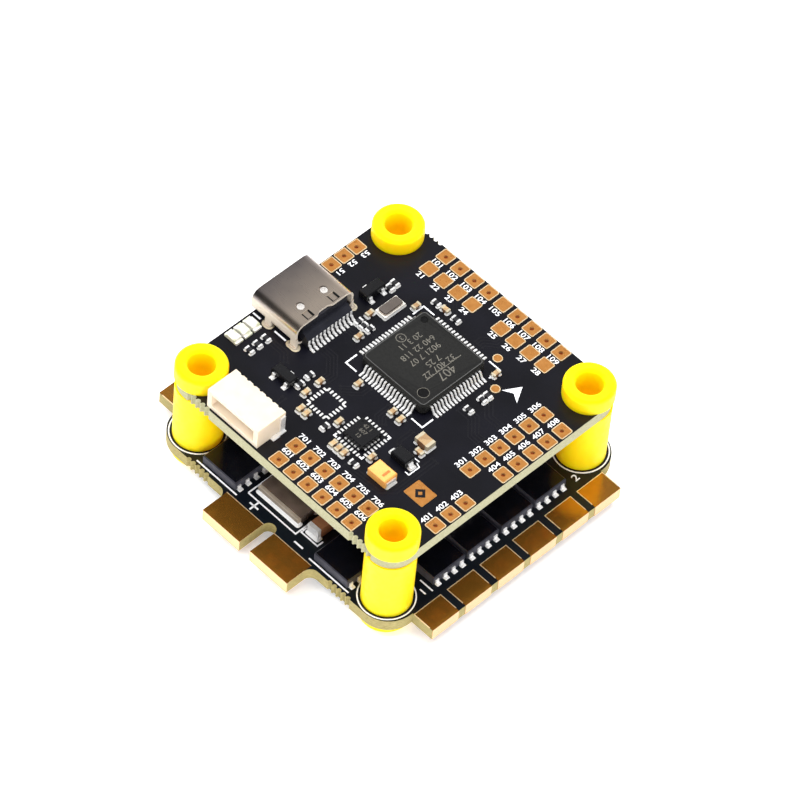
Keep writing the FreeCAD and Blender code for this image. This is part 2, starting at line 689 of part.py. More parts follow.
def make_grommets():
    """A turned silicone column with a groove for each board and a bore for the screw."""
    corners = {
        "rear_left": (-1, -1),
        "rear_right": (1, -1),
        "front_right": (1, 1),
        "front_left": (-1, 1),
    }
    flange = "sizes.grommet_flange"
    board = "sizes.board_thickness"
    gap = "sizes.board_gap"
    outer = "sizes.grommet_radius"
    column = "sizes.grommet_column"
    neck = "sizes.hole_radius"
    bore = "sizes.grommet_bore"
    levels = (
        "0",
        flange,
        f"{flange} + {board}",
        f"{flange} + {board} + {gap}",
        f"{flange} + 2 * {board} + {gap}",
        f"{flange} + 2 * {board} + {gap} + sizes.grommet_cap",
    )
    profile = (
        (bore, levels[0]),
        (outer, levels[0]),
        (outer, levels[1]),
        (neck, levels[1]),
        (neck, levels[2]),
        (column, levels[2]),
        (column, levels[3]),
        (neck, levels[3]),
        (neck, levels[4]),
        (outer, levels[4]),
        (outer, levels[5]),
        (bore, levels[5]),
    )
    for name, (side_x, side_y) in corners.items():
        body = new_body(f"grommet_{name}")
        sketch = new_sketch(body, f"{name}_profile", "XZ_Plane")
        outline(sketch, profile)
        turned = body.newObject("PartDesign::Revolution", "Turned")
        turned.Profile = sketch
        turned.ReferenceAxis = (sketch, ["V_Axis"])
        turned.Angle = 360
        document.recompute()
        height = body.Shape.BoundBox.ZMax
        rims = edges_where(
            body.Shape,
            lambda edge: hasattr(edge.Curve, "Radius")
            and min(abs(edge.Vertexes[0].Point.z), abs(edge.Vertexes[0].Point.z - height)) < 1e-6,
        )
        fillet(body, rims, "sizes.grommet_round")
        half = size("hole_pitch") / 2
        place(body, side_x * half, side_y * half)


# ---- Processor ----


def make_mcu():
    body = new_body("mcu_package")
    sketch = new_sketch(body, "mcu_outline")
    centred_rectangle(sketch, "sizes.mcu_size", "sizes.mcu_size")
    pad(body, sketch, "sizes.mcu_height")
    chamfer(body, edges_where(body.Shape, is_upright), "sizes.mcu_corner")
    for level, bevel in ((size("mcu_height"), "sizes.mcu_top_bevel"), (0.0, "sizes.mcu_bottom_bevel")):
        rim = edges_where(body.Shape, lambda edge: lies_at_height(edge, level))
        chamfer(body, rim, bevel)
    dots = new_sketch(body, "mcu_dots", offset="sizes.mcu_height")
    inset = "(sizes.mcu_size / 2 - sizes.mcu_dot_inset)"
    circle(dots, inset, f"-{inset}", "sizes.mcu_dot_radius")
    far_inset = "(sizes.mcu_size / 2 - sizes.mcu_mark_inset)"
    circle(dots, f"-{far_inset}", far_inset, "sizes.mcu_mark_radius")
    pocket(body, dots, "sizes.mcu_recess_depth", name="mcu_recesses")
    place(body, size("mcu_x"), size("mcu_y"), FC_TOP + size("mcu_standoff"))

    thickness = size("mcu_lead_thickness")
    drop = size("mcu_standoff") + (size("mcu_height") - thickness) / 2
    lead = gull_wing(size("mcu_lead_reach"), drop, thickness, size("mcu_lead_width"), 0.42)
    half = size("mcu_size") / 2
    count = int(size("mcu_lead_count"))
    leads = list(around_square(lead, half, size("mcu_lead_pitch"), count))
    shell = block(2 * half, 2 * half, 4 * size("mcu_height"), 0, 0, -size("mcu_height"))
    leads = [item.cut(shell) for item in leads]
    group("mcu_leads", leads, size("mcu_x"), size("mcu_y"), FC_TOP)


# ---- USB receptacle ----


def press_usb_top(body):
    """Two spring fingers, two dimples and a notched rear rim in the top of the shell."""
    slit = "sizes.usb_finger_slit"
    rear = "(sizes.usb_length - sizes.usb_finger_margin)"
    front = f"({rear} - {slit} - sizes.usb_finger_length)"
    fingers = new_sketch(body, "usb_fingers", offset="sizes.usb_height")
    slits = new_sketch(body, "usb_finger_slits", offset="sizes.usb_height")
    dimples = new_sketch(body, "usb_dimples", offset="sizes.usb_height")
    for side in (-1, 1):
        low = f"({side} * sizes.usb_finger_y - sizes.usb_finger_width / 2)"
        high = f"({side} * sizes.usb_finger_y + sizes.usb_finger_width / 2)"
        rectangle(fingers, front, f"{rear} - {slit}", low, high)
        outline(
            slits,
            (
                (front, f"{low} - {slit}"),
                (rear, f"{low} - {slit}"),
                (rear, f"{high} + {slit}"),
                (front, f"{high} + {slit}"),
                (front, high),
                (f"{rear} - {slit}", high),
                (f"{rear} - {slit}", low),
                (front, low),
            ),
        )
        spot = ("sizes.usb_length - sizes.usb_dimple_x", f"{side} * sizes.usb_dimple_y")
        circle(dimples, *spot, "sizes.usb_dimple_radius")
    pocket(body, fingers, "sizes.usb_finger_drop", name="usb_finger_drop")
    pocket(body, slits, "sizes.usb_wall * 1.5", name="usb_finger_cuts")
    pocket(body, dimples, "sizes.usb_dimple_depth", name="usb_dimple_dents")
    floor = size("usb_height") - size("usb_dimple_depth")
    dented = edges_where(
        body.Shape,
        lambda edge: hasattr(edge.Curve, "Radius")
        and abs(edge.Curve.Radius - size("usb_dimple_radius")) < 1e-6
        and not lies_at_height(edge, floor)
        and lies_at_height(edge, size("usb_height")),
    )
    chamfer(body, dented, "sizes.usb_dimple_depth * 0.9")
    notch = new_sketch(body, "usb_rim_notch", offset="sizes.usb_height")
    half = "(sizes.usb_notch_width / 2)"
    inward = "(sizes.usb_length - sizes.usb_notch_depth)"
    beyond = "(sizes.usb_length + sizes.usb_notch_depth)"
    outline(
        notch,
        (
            (inward, f"-{half} + 2 * sizes.usb_notch_depth"),
            (beyond, f"-{half} - 2 * sizes.usb_notch_depth"),
            (beyond, f"{half} + 2 * sizes.usb_notch_depth"),
            (inward, f"{half} - 2 * sizes.usb_notch_depth"),
        ),
    )
    pocket(body, notch, "sizes.usb_wall * 1.5", name="usb_notched_rim")


def make_usb_shell():
    """A drawn sheet-metal tube open at both ends, with four solder legs."""
    body = new_body("usb_shell")
    sketch = new_sketch(body, "usb_section", "YZ_Plane")
    half = "sizes.usb_width / 2"
    rectangle(sketch, f"-{half}", half, "0", "sizes.usb_height")
    pad(body, sketch, "sizes.usb_length")
    bore = new_sketch(body, "usb_bore", "YZ_Plane")
    inner = "(sizes.usb_width / 2 - sizes.usb_wall)"
    rectangle(bore, f"-{inner}", inner, "sizes.usb_wall", "sizes.usb_height - sizes.usb_wall")
    pocket(body, bore, name="usb_opening")
    inner_y = size("usb_width") / 2 - size("usb_wall")
    length = size("usb_length")

    def runs_along(edge, y):
        ends = [vertex.Point for vertex in edge.Vertexes]
        beside = all(abs(abs(end.y) - y) < 1e-6 for end in ends)
        return beside and abs(edge.Length - length) < 1e-6

    inner_edges = edges_where(body.Shape, lambda edge: runs_along(edge, inner_y))
    fillet(body, inner_edges, "sizes.usb_corner - sizes.usb_wall")
    outer_edges = edges_where(body.Shape, lambda edge: runs_along(edge, size("usb_width") / 2))
    fillet(body, outer_edges, "sizes.usb_corner")
    press_usb_top(body)
    legs = new_sketch(body, "usb_legs", offset="-sizes.usb_leg_depth - sizes.usb_lift")
    for x in SHELL_LEG_X:
        leg_x = f"{x} - sizes.usb_mouth_x"
        for side in (-1, 1):
            faces = [f"{side} * sizes.usb_width / 2", f"{side} * (sizes.usb_width / 2 - sizes.usb_wall)"]
            low, high = faces if side < 0 else reversed(faces)
            half_leg = "sizes.usb_leg_width / 2"
            rectangle(legs, f"{leg_x} - {half_leg}", f"{leg_x} + {half_leg}", low, high)
    pad(body, legs, "sizes.usb_leg_depth + sizes.usb_lift + sizes.usb_corner + 0.1", "LegPad")
    place(body, size("usb_mouth_x"), size("usb_y"), FC_TOP + size("usb_lift"))


def make_usb_inside():
    """The moulded tongue and rear block, and the contacts on it."""
    mouth = size("usb_mouth_x")
    rear = mouth + size("usb_length")
    lift = size("usb_lift")
    play = 0.05
    inner_width = size("usb_width") - 2 * size("usb_wall") - 2 * play
    inner_height = size("usb_height") - 2 * size("usb_wall") - 2 * play
    floor = lift + size("usb_wall") + play
    block_width = inner_width - 1.4
    plug_length = 2.2
    plug = block(plug_length, block_width, inner_height, rear - plug_length / 2, 0, floor)
    middle = lift + size("usb_height") / 2
    tongue_length, tongue_width, tongue_height = (
        size(f"usb_tongue_{part}") for part in ("length", "width", "height")
    )
    tongue_x = rear - plug_length - tongue_length / 2
    tongue_z = middle - tongue_height / 2
    tongue = block(tongue_length, tongue_width, tongue_height, tongue_x, 0, tongue_z)
    tail_length = size("usb_block_length")
    tail_top = size("usb_block_height")
    tail = block(tail_length, block_width, tail_top - play, rear + tail_length / 2, 0, play)
    end = rear + tail_length
    rim = [
        edge
        for edge in tail.Edges
        if lies_at_height(edge, tail_top) and all(abs(v.Point.x - end) < 1e-6 for v in edge.Vertexes)
    ]
    tail = tail.makeChamfer(0.6, rim)
    inside = plug.fuse([tongue, tail]).removeSplitter()
    group("usb_insulator", [moved(inside, 0, size("usb_y"))], z=FC_TOP)

    contacts = []
    strip = 0.04
    for index in range(8):
        y = size("usb_y") + (index - 3.5) * 0.5
        for face in (-1, 1):
            height = middle + face * (tongue_height + strip) / 2 - strip / 2
            contacts.append(block(3.3, 0.25, strip, rear - 4.1, y, height))
    lead = gull_wing(0.75, 0.35, 0.13, 0.3, 0.4)
    shin = block(0.07, 0.3, 0.75, 0.035, 0, 0.4)
    lead = lead.cut(block(2.0, 2.0, 2.0, -1.0, 0, -0.5)).fuse(shin).removeSplitter()
    for index in range(12):
        contacts.append(moved(lead, end, size("usb_y") + (index - 5.5) * 0.59))
    group("usb_contacts", contacts, z=FC_TOP)


# ---- Wire connectors ----


def make_wire_connector(name, pins, x, y, z, turn, tilt):
    """A side-entry connector: an open-fronted housing, its pins and its two side brackets."""
    width = f"({pins - 1} * sizes.jst_pitch + sizes.jst_margin)"
    body = new_body(f"{name}_housing")
    sketch = new_sketch(body, f"{name}_outline")
    centred_rectangle(sketch, width, "sizes.jst_depth")
    pad(body, sketch, "sizes.jst_height")
    mouth = new_sketch(body, f"{name}_mouth", "XZ_Plane")
    inner = f"({width} / 2 - 1.3 * sizes.jst_wall)"
    top = "sizes.jst_height - sizes.jst_wall"
    rectangle(mouth, f"-{inner}", inner, "sizes.jst_wall * 1.2", top)
    mouth.setExpression("AttachmentOffset.Base.z", "sizes.jst_depth / 2")
    pocket(body, mouth, "sizes.jst_depth - 1.6 * sizes.jst_wall", name="mouth_pocket")
    scallops = new_sketch(body, f"{name}_scallops")
    for index in range(pins + 1):
        middle = f"({index} - {pins / 2}) * sizes.jst_pitch"
        circle(scallops, middle, "sizes.jst_depth / 2 + 0.1", "sizes.jst_scallop")
    pocket(body, scallops, name="scallop_cuts")
    place(body, x, y, z, turn, tilt)

    depth = size("jst_depth")
    half_width = (pins - 1) * size("jst_pitch") / 2
    metal = []
    for index in range(pins):
        spot = -half_width + index * size("jst_pitch")
        blade = block(0.2, depth - 1.4, 0.3, spot, -0.1, 1.35)
        riser = block(0.2, 0.2, 1.65, spot, depth / 2 + 0.12, 0.0)
        top = block(0.2, 1.0, 0.3, spot, depth / 2 - 0.28, 1.35)
        foot = block(0.2, 0.75, 0.15, spot, depth / 2 + 0.4, 0.0)
        metal.append(blade.fuse([top, riser, foot]).removeSplitter())
    bracket_x = half_width + size("jst_margin") / 2 + 0.1
    for side in (-1, 1):
        wall = block(0.2, 0.7, 2.5, side * bracket_x, depth / 2 - 0.5, 0.0)
        foot = block(0.45, 1.9, 0.15, side * (bracket_x + 0.125), depth / 2 - 1.1, 0.0)
        metal.append(wall.fuse(foot).removeSplitter())
    group(f"{name}_pins", metal, x, y, z, turn, tilt)


# ---- Other parts of the flight controller ----


def make_gyro():
    body = new_body("gyro_package")
    sketch = new_sketch(body, "gyro_outline")
    centred_rectangle(sketch, "sizes.gyro_size", "sizes.gyro_size")
    pad(body, sketch, "sizes.gyro_height")
    top = size("gyro_height")
    rim = edges_where(body.Shape, lambda edge: lies_at_height(edge, top))
    chamfer(body, rim, "sizes.gyro_bevel")
    dot = new_sketch(body, "gyro_dot", offset="sizes.gyro_height")
    corner = "(sizes.gyro_size / 2 - sizes.gyro_dot_inset)"
    circle(dot, f"-{corner}", corner, "sizes.gyro_dot_radius")
    pocket(body, dot, "sizes.gyro_dot_depth", name="gyro_mark")
    place(body, size("gyro_x"), size("gyro_y"), FC_TOP + size("plating"))
    reach = size("gyro_terminal_reach")
    terminal = block(reach, 0.26, 0.14, reach / 2)
    terminals = around_square(terminal, size("gyro_size") / 2, 0.5, 5)
    group("gyro_terminals", terminals, size("gyro_x"), size("gyro_y"), FC_TOP)


def make_crystal():
    length, width = size("crystal_length"), size("crystal_width")
    base = document.addObject("Part::Box", "crystal_ceramic")
    base.Label = "crystal_ceramic"
    base.setExpression("Length", "sizes.crystal_width")
    base.setExpression("Width", "sizes.crystal_length")
    base.setExpression("Height", "sizes.crystal_base")
    base.Placement.Base = Vector(size("crystal_x") - width / 2, size("crystal_y") - length / 2, FC_TOP)
    lid = new_body("crystal_lid")
    sketch = new_sketch(lid, "lid_outline")
    margins = "2 * sizes.crystal_margin"
    centred_rectangle(sketch, f"sizes.crystal_width - {margins}", f"sizes.crystal_length - {margins}")
    pad(lid, sketch, "sizes.crystal_lid")
    fillet(lid, edges_where(lid.Shape, is_upright), "sizes.crystal_corner")
    top = size("crystal_lid")
    rim = edges_where(lid.Shape, lambda edge: lies_at_height(edge, top))
    fillet(lid, rim, "sizes.crystal_round")
    place(lid, size("crystal_x"), size("crystal_y"), FC_TOP + size("crystal_base"))


def make_tantalum():
    length, width, height = (size(f"tantalum_{part}") for part in ("length", "width", "height"))
    body = bevelled_block(length, width, height, 0.12, 0, 0, STANDOFF)
    group("tantalum_capacitor", scatter([body], TANTALUMS, 0), z=FC_TOP)
    foot_width = 0.75 * width
    ends = []
    for side in (-1, 1):
        strap = block(0.12, foot_width, 0.65 * height, side * (length / 2 + 0.06), 0, 0.0)
        foot = block(0.55, foot_width, STANDOFF, side * (length / 2 - 0.1), 0, 0.0)
        ends.append(strap.fuse(foot).removeSplitter())
    group("tantalum_terminals", scatter(ends, TANTALUMS, 0), z=FC_TOP)


def make_status_leds():
    """White light-emitting diodes: a substrate with a lens on it."""
    base = block(*PACKAGES["led_base"])
    lens = bevelled_block(*PACKAGES["led_lens"], 0.12, 0, 0, base.BoundBox.ZMax)
    led = base.fuse(lens).removeSplitter()
    group("status_leds", scatter([led], STATUS_LEDS, 0), z=FC_TOP)


def make_chip_components():
    """Ceramic capacitors and resistors of the flight controller, with their metal ends."""
    small, small_ends = end_capped(*PACKAGES["small_capacitor"], 0.26)
    large, large_ends = end_capped(*PACKAGES["large_capacitor"], 0.4)
    bodies = [*scatter([small], CAPACITORS_0402, 0), *scatter([large], LARGE_CAPACITORS, 0)]
    ends = [*scatter(small_ends, CAPACITORS_0402, 0), *scatter(large_ends, LARGE_CAPACITORS, 0)]
    group("fc_capacitors", bodies, z=FC_TOP)
    group("fc_capacitor_ends", ends, z=FC_TOP)
    flat, flat_ends = end_capped(*PACKAGES["resistor"], 0.24)
    group("fc_resistors", scatter([flat], RESISTORS_0402, 0), z=FC_TOP)
    group("fc_resistor_ends", scatter(flat_ends, RESISTORS_0402, 0), z=FC_TOP)
    low, low_ends = end_capped(*PACKAGES["lower_capacitor"], 0.32)
    group("fc_lower_capacitors", scatter([low], FC_LOWER_CAPACITORS, 0, 180), z=FC_BOTTOM)
    group("fc_lower_capacitor_ends", scatter(low_ends, FC_LOWER_CAPACITORS, 0, 180), z=FC_BOTTOM)


def make_transistors():
    """Two three-lead transistors and a two-lead rectifier."""
    length, width, height = PACKAGES["transistor"]
    body = bevelled_block(length, width, height, 0.12, 0, 0, STANDOFF)
    lead = moved(gull_wing(0.5, 0.45, 0.13, 0.42, 0.28), 0, width / 2, 0, 90)
    leads = [moved(lead, -0.95), moved(lead, 0.95), moved(lead, 0, 0, 0, 180)]
    leads = [outside(item, "transistor") for item in leads]
    group("small_transistors", scatter([body], TRANSISTORS, 0), z=FC_TOP)
    group("small_transistor_leads", scatter(leads, TRANSISTORS, 0), z=FC_TOP)

    length, width, height = PACKAGES["rectifier"]
    diode = bevelled_block(length, width, height, 0.12, 0, 0, STANDOFF)
    tab = moved(gull_wing(0.55, 0.4, 0.15, 0.7, 0.35), length / 2)
    tabs = [outside(moved(tab, turn=turn), "rectifier") for turn in (0, 180)]
    group("rectifier_diode", scatter([diode], RECTIFIERS, 0), z=FC_TOP)
    group("rectifier_leads", scatter(tabs, RECTIFIERS, 0), z=FC_TOP)


def make_osd_chip():
    """The video overlay chip below the flight controller, with fourteen leads a side."""
    x, y = OSD_PLACE
    length, width, height = PACKAGES["osd"]
    body = bevelled_block(length, width, height, 0.15, 0, 0, STANDOFF)
    group("osd_chip", [body], x, y, FC_BOTTOM, tilt=180)
    count, pitch = 14, 0.65
    lead = moved(gull_wing(1.0, 0.5, 0.13, 0.24, 0.5), 0, width / 2, 0, 90)
    leads = []
    for index in range(count):
        stepped = moved(lead, (index - (count - 1) / 2) * pitch)
        leads += [outside(moved(stepped, turn=turn), "osd") for turn in (0, 180)]
    group("osd_chip_leads", leads, x, y, FC_BOTTOM, tilt=180)


def make_fc_underside():
    """Chips that hang below the flight controller."""
    flash = document.addObject("Part::Box", "flash_chip")
    flash.Label = "flash_chip"
    flash.Length, flash.Width, flash.Height = PACKAGES["flash"]
    flash.Placement.Base = Vector(*FLASH_CORNER, FC_BOTTOM - float(flash.Height))

    can = rounded_block(*PACKAGES["barometer"], 0.2)
    vent = Part.makeCylinder(0.13, 0.4, Vector(0.6, 0.4, 0.6))
    group("barometer", scatter([can.cut(vent)], BAROMETERS, 0, 180), z=FC_BOTTOM)

    regulator = bevelled_block(*PACKAGES["regulator"], STANDOFF)
    group("buck_regulators", scatter([regulator], REGULATORS, 0, 180), z=FC_BOTTOM)


def make_inductors():
    """Shielded power inductors: two below the flight controller, one on the motor driver board."""
    side = size("inductor_size")
    height = size("inductor_height")
    lift = size("plating")
    core = rounded_block(side, side, height, 0.5, 0, 0, lift)
    core = core.makeChamfer(0.15, [edge for edge in core.Edges if lies_at_height(edge, height + lift)])
    straps = []
    for end in (-1, 1):
        strap = block(0.1, 0.6 * side, 0.5 * height, end * (side / 2 + 0.05))
        foot = block(0.9, 0.6 * side, lift, end * (side / 2 - 0.35))
        straps.append(strap.fuse(foot).removeSplitter())
    spots = [(x, y, FC_BOTTOM, 180) for x, y in FC_INDUCTORS] + [(*DRIVER_INDUCTOR, DRIVER_TOP, 0)]
    group("power_inductors", [moved(core, x, y, z, 0, tilt) for x, y, z, tilt in spots])
    metal = [moved(strap, x, y, z, 0, tilt) for x, y, z, tilt in spots for strap in straps]
    group("power_inductor_terminals", metal)


def make_boot_switch():
    """A side-pressed switch below the left edge, and the button that slides in it."""
    length, depth, height = (size(f"switch_{part}") for part in ("length", "depth", "height"))
    body = new_body("boot_switch_case")
    sketch = new_sketch(body, "switch_outline")
    centred_rectangle(sketch, "sizes.switch_depth", "sizes.switch_length")
    pad(body, sketch, "sizes.switch_height")
    chamfer(body, edges_where(body.Shape, is_upright), "sizes.switch_corner")
    cavity = new_sketch(body, "switch_cavity", "YZ_Plane")
    half = "(sizes.button_width / 2 + sizes.button_clearance)"
    middle = "sizes.switch_height / 2"
    tall = "(sizes.button_height / 2 + sizes.button_clearance)"
    rectangle(cavity, f"-{half}", half, f"{middle} - {tall}", f"{middle} + {tall}")
    cavity.setExpression("AttachmentOffset.Base.z", "-sizes.switch_depth / 2 + sizes.switch_wall * 5")
    pocket(body, cavity, "sizes.switch_wall * 5", name="button_guide")
    x = -size("fc_size") / 2 + depth / 2 + 0.1
    place(body, x, size("switch_y"), FC_BOTTOM, 0, 180)

    button = new_body("boot_button")
    face = new_sketch(button, "button_section", "YZ_Plane")
    centred_rectangle(face, "sizes.button_width", "sizes.button_height")
    pad(button, face, "sizes.button_reach + 4 * sizes.switch_wall")
    tip = edges_where(
        button.Shape,
        lambda edge: all(abs(vertex.Point.x) < 1e-6 for vertex in edge.Vertexes),
    )
    fillet(button, tip, "sizes.button_round")
    place(button, x - depth / 2 - size("button_reach"), size("switch_y"), FC_BOTTOM - height / 2)

    terminal = block(0.5, 0.45, 0.12)
    reach_x, reach_y = depth / 2 - 0.5, length / 2 + 0.225
    y = size("switch_y")
    spots = [(x + side_x * reach_x, y + side_y * reach_y, 0) for side_x, side_y in DRIVER_QUADRANTS]
    group("boot_switch_terminals", scatter([terminal], spots, 0, 180), z=FC_BOTTOM)


# ---- Motor driver board ----


def mosfet_places():
    """Every power transistor of one face: x, y and the turn of its leads from +X."""
    for side, turn in ((1, 0), (-1, 180)):
        for index in range(4):
            yield side * size("mosfet_column_x"), (index - 1.5) * size("mosfet_pitch"), turn
    for side, turn in ((1, 180), (-1, 0)):
        for column in (-1, 1):
            yield column * size("mosfet_row_x"), side * size("mosfet_row_y"), turn


def make_mosfets():
    """Twenty-four power transistors, with four leads and a wide metal edge each."""
    width, length, height = (size(f"mosfet_{part}") for part in ("width", "length", "height"))
    package = bevelled_block(length, width, height, size("mosfet_bevel"))
    reach = size("mosfet_lead_reach")
    lead_width = size("mosfet_lead_width")
    foot = block(reach, lead_width, 0.18, (length + reach) / 2)
    shin = block(0.13, lead_width, size("mosfet_lead_rise"), length / 2 + 0.065)
    lead = foot.fuse(shin).removeSplitter()
    leads = [moved(lead, y=(index - 1.5) * size("mosfet_lead_pitch")) for index in range(4)]
    drain_reach = size("mosfet_drain_reach")
    drain = block(drain_reach, 0.8 * width, 0.26, -(length + drain_reach) / 2)
    places = list(mosfet_places())
    for name, z, tilt in (("upper", DRIVER_TOP, 0), ("lower", DRIVER_BOTTOM, 180)):
        group(f"{name}_mosfets", scatter([package], places, 0, tilt), z=z)
        group(f"{name}_mosfet_leads", scatter([*leads, drain], places, 0, tilt), z=z)


def make_driver_chips():
    """A motor processor and a gate driver for each motor, and the board's own supply."""
    side, _, _ = PACKAGES["driver_chip"]
    package = bevelled_block(*PACKAGES["driver_chip"], 0.06, 0, 0, 0.03)
    terminal = block(0.3, 0.25, 0.12, 0.15)
    pads = list(around_square(terminal, side / 2, 0.5, 6))
    driver_x, driver_y = GATE_DRIVER_PLACE
    mcu_x, mcu_y = MOTOR_PROCESSOR_PLACE
    driver_places = [(x * driver_x, y * driver_y, 0) for x, y in DRIVER_QUADRANTS]
    mcu_places = [(x * mcu_x, y * mcu_y, 0) for x, y in DRIVER_QUADRANTS]
    group("gate_drivers", scatter([package], driver_places, 0), z=DRIVER_TOP)
    group("motor_processors", scatter([package], mcu_places, 0), z=DRIVER_TOP)
    group("driver_chip_terminals", scatter(pads, driver_places + mcu_places, 0), z=DRIVER_TOP)
    supply = bevelled_block(*PACKAGES["driver_supply"], 0.12, 0, 0, STANDOFF)
    group("driver_supply_chips", scatter([supply], DRIVER_SUPPLIES, 0), z=DRIVER_TOP)


def make_shunt():
    """The current sensing resistor, with wide terminals along its long sides."""
    length, width, height = (size(f"shunt_{part}") for part in ("length", "width", "height"))
    core = document.addObject("Part::Box", "current_shunt")
    core.Label = "current_shunt"
    core.setExpression("Length", "sizes.shunt_length")
    core.setExpression("Width", "sizes.shunt_width - 2 * sizes.shunt_terminal")
    core.setExpression("Height", "sizes.shunt_height")
    terminal_width = size("shunt_terminal")
    core_y = size("shunt_y") - width / 2 + terminal_width
    core.Placement.Base = Vector(size("shunt_x") - length / 2, core_y, DRIVER_TOP)
    terminal = bevelled_block(length + 0.04, terminal_width, height - 0.12, 0.08)
    terminals = [moved(terminal, y=side * (width - terminal_width) / 2) for side in (-1, 1)]
    group("shunt_terminals", terminals, size("shunt_x"), size("shunt_y"), DRIVER_TOP)


def make_driver_capacitors():
    body, ends = end_capped(*PACKAGES["bulk_capacitor"], 0.5)
    group("driver_capacitors", scatter([body], DRIVER_BULK_CAPACITORS, 0), z=DRIVER_TOP)
    group("driver_capacitor_ends", scatter(ends, DRIVER_BULK_CAPACITORS, 0), z=DRIVER_TOP)


def main():
    make_fc_board()
    make_driver_board()
    make_fc_solder_pads()
    make_motor_pads()
    make_battery_pads()
    make_grommets()
    make_mcu()
    make_usb_shell()
    make_usb_inside()
    make_wire_connector("uart_connector", 6, size("uart_x"), size("uart_y"), FC_TOP, 0, 0)
    make_wire_connector("fc_link", 8, 0, size("fc_link_y"), FC_BOTTOM, 0, 180)
    make_wire_connector("driver_link", 8, 0, size("driver_link_y"), DRIVER_TOP, 180, 0)
    make_gyro()
    make_crystal()
    make_tantalum()
    make_status_leds()
    make_chip_components()
    make_transistors()
    make_osd_chip()
    make_fc_underside()
    make_inductors()
    make_boot_switch()
    make_mosfets()
    make_driver_chips()
    make_shunt()
    make_driver_capacitors()
    document.recompute()
    write_sub_parts()


def sub_parts():
    """The bodies and free-standing shapes of the document, without their inner features."""
    for item in document.Objects:
        if item.TypeId in ("PartDesign::Body", "Part::Feature", "Part::Box"):
            yield item


def write_sub_parts():
    for item in document.Objects:
        if "Invalid" in item.State or "Error" in item.State:
            raise RuntimeError(f"{item.Label} did not build: {item.State}")
    os.makedirs("parts", exist_ok=True)
    for item in sub_parts():
        shape = item.Shape
        if shape.isNull() or not shape.isValid() or not shape.Solids:
            raise RuntimeError(f"{item.Label} is not a valid solid")
        shape.exportStep(f"parts/{item.Label}.step")
        print(f"{item.Label}: {len(shape.Solids)} solids, {shape.Volume:.3f} mm3")


main()
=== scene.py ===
"""Looks of a quadcopter flight controller stacked on its motor driver board."""

import math

import bmesh
import bpy
import numpy as np
from mathutils import Matrix, Vector


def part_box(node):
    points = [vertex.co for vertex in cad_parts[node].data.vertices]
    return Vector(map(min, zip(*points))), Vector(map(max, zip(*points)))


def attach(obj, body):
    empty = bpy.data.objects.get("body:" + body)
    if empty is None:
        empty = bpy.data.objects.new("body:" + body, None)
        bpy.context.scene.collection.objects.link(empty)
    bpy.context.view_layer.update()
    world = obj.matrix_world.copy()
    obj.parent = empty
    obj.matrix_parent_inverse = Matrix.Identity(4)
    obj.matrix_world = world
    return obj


MM = 0.001
STACK = "stack"

# Printed and plated layers on the boards, in millimetres.
TRACK_RISE = 0.012
TRACK_WIDTH = 0.16
VIA_RISE = 0.004
INK_RISE = 0.03
MARK_RISE = 0.026
PAD_RISE = 0.05
LAND_DOME = 0.07
BURIED = 0.02

# Sizes of the printed legend.
LABEL_HEIGHT = 0.66
LABEL_GAP = 0.2
LABEL_WIDEN = 1.22
LABEL_BOLD = 0.01
CORNER_NUMBER_HEIGHT = 0.9
LINE_WIDTH = 0.19
BOLD_LINE_WIDTH = 0.22
FINE_LINE_WIDTH = 0.14

# Rows of pads whose numbers have two digits.
SHORT_ROWS = (2, 5)

# Places on the flight controller.
SPARE_CENTRE = (-3.1, -7.6)
ARROW_TIP = (9.7, 10.4)
BADGE_LOW = (11.3, -9.75)
BADGE_HIGH = (14.2, -7.35)

# Places on the driver board.
PLUS_CENTRE = (-3.4, -17.75)
MINUS_CENTRE = (3.8, -17.75)
GROMMETS = ("grommet_rear_left", "grommet_rear_right", "grommet_front_left", "grommet_front_right")

# The USB shell: x of its legs with half the length of their pads, and its dimples and spring
# fingers, whose places are counted from its front edge and its middle.
USB_LEGS = ((-15.5, 0.75), (-11.4, 0.95))
USB_LEG_PAD_HALF_WIDTH = 0.55
DIMPLE = {"behind": 2.2, "aside": 1.8, "radius": 0.44, "depth": 0.135}
FINGER = {"behind": 0.2, "aside": 1.95, "length": 1.0, "width": 0.9, "slit": 0.13, "shade": 0.25}

# Solder lands under leads: how far they run under the lead, beyond its tip and beside it.
MCU_LAND = {"length": 0.55, "beyond": 0.28, "side": 0.03}
USB_LAND = {"length": 0.5, "beyond": 0.2, "side": 0.02}
OSD_LAND = {"length": 0.56, "beyond": 0.29, "side": 0.04}

# Rings of bare solder lands: half-width of the ring, lands on a side, their pitch and size.
SPARE_RING = {"reach": 1.52, "count": 6, "pitch": 0.5, "long": 0.56, "wide": 0.27}
GYRO_RING = {"reach": 2.12, "count": 7, "pitch": 0.5, "long": 0.5, "wide": 0.27}

# Camera: the direction it looks from, its roll, its distance and its lens.
VIEW_AZIMUTH = 41.1
VIEW_ELEVATION = 52.0
VIEW_ROLL = 5.9
VIEW_DISTANCE = 0.655
VIEW_LENS = 265.2
VIEW_AIM = (1.4, -0.5, 12.2)

WORLD_STRENGTH = 0.8
LAMP_AIM = (0, 0, 0.01)

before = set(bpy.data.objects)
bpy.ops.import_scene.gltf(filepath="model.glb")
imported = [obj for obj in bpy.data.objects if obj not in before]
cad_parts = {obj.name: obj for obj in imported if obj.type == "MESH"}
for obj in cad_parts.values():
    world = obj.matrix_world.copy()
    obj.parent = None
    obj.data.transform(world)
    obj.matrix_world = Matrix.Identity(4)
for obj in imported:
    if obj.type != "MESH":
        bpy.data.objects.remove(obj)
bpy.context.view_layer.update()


# ---------------- materials


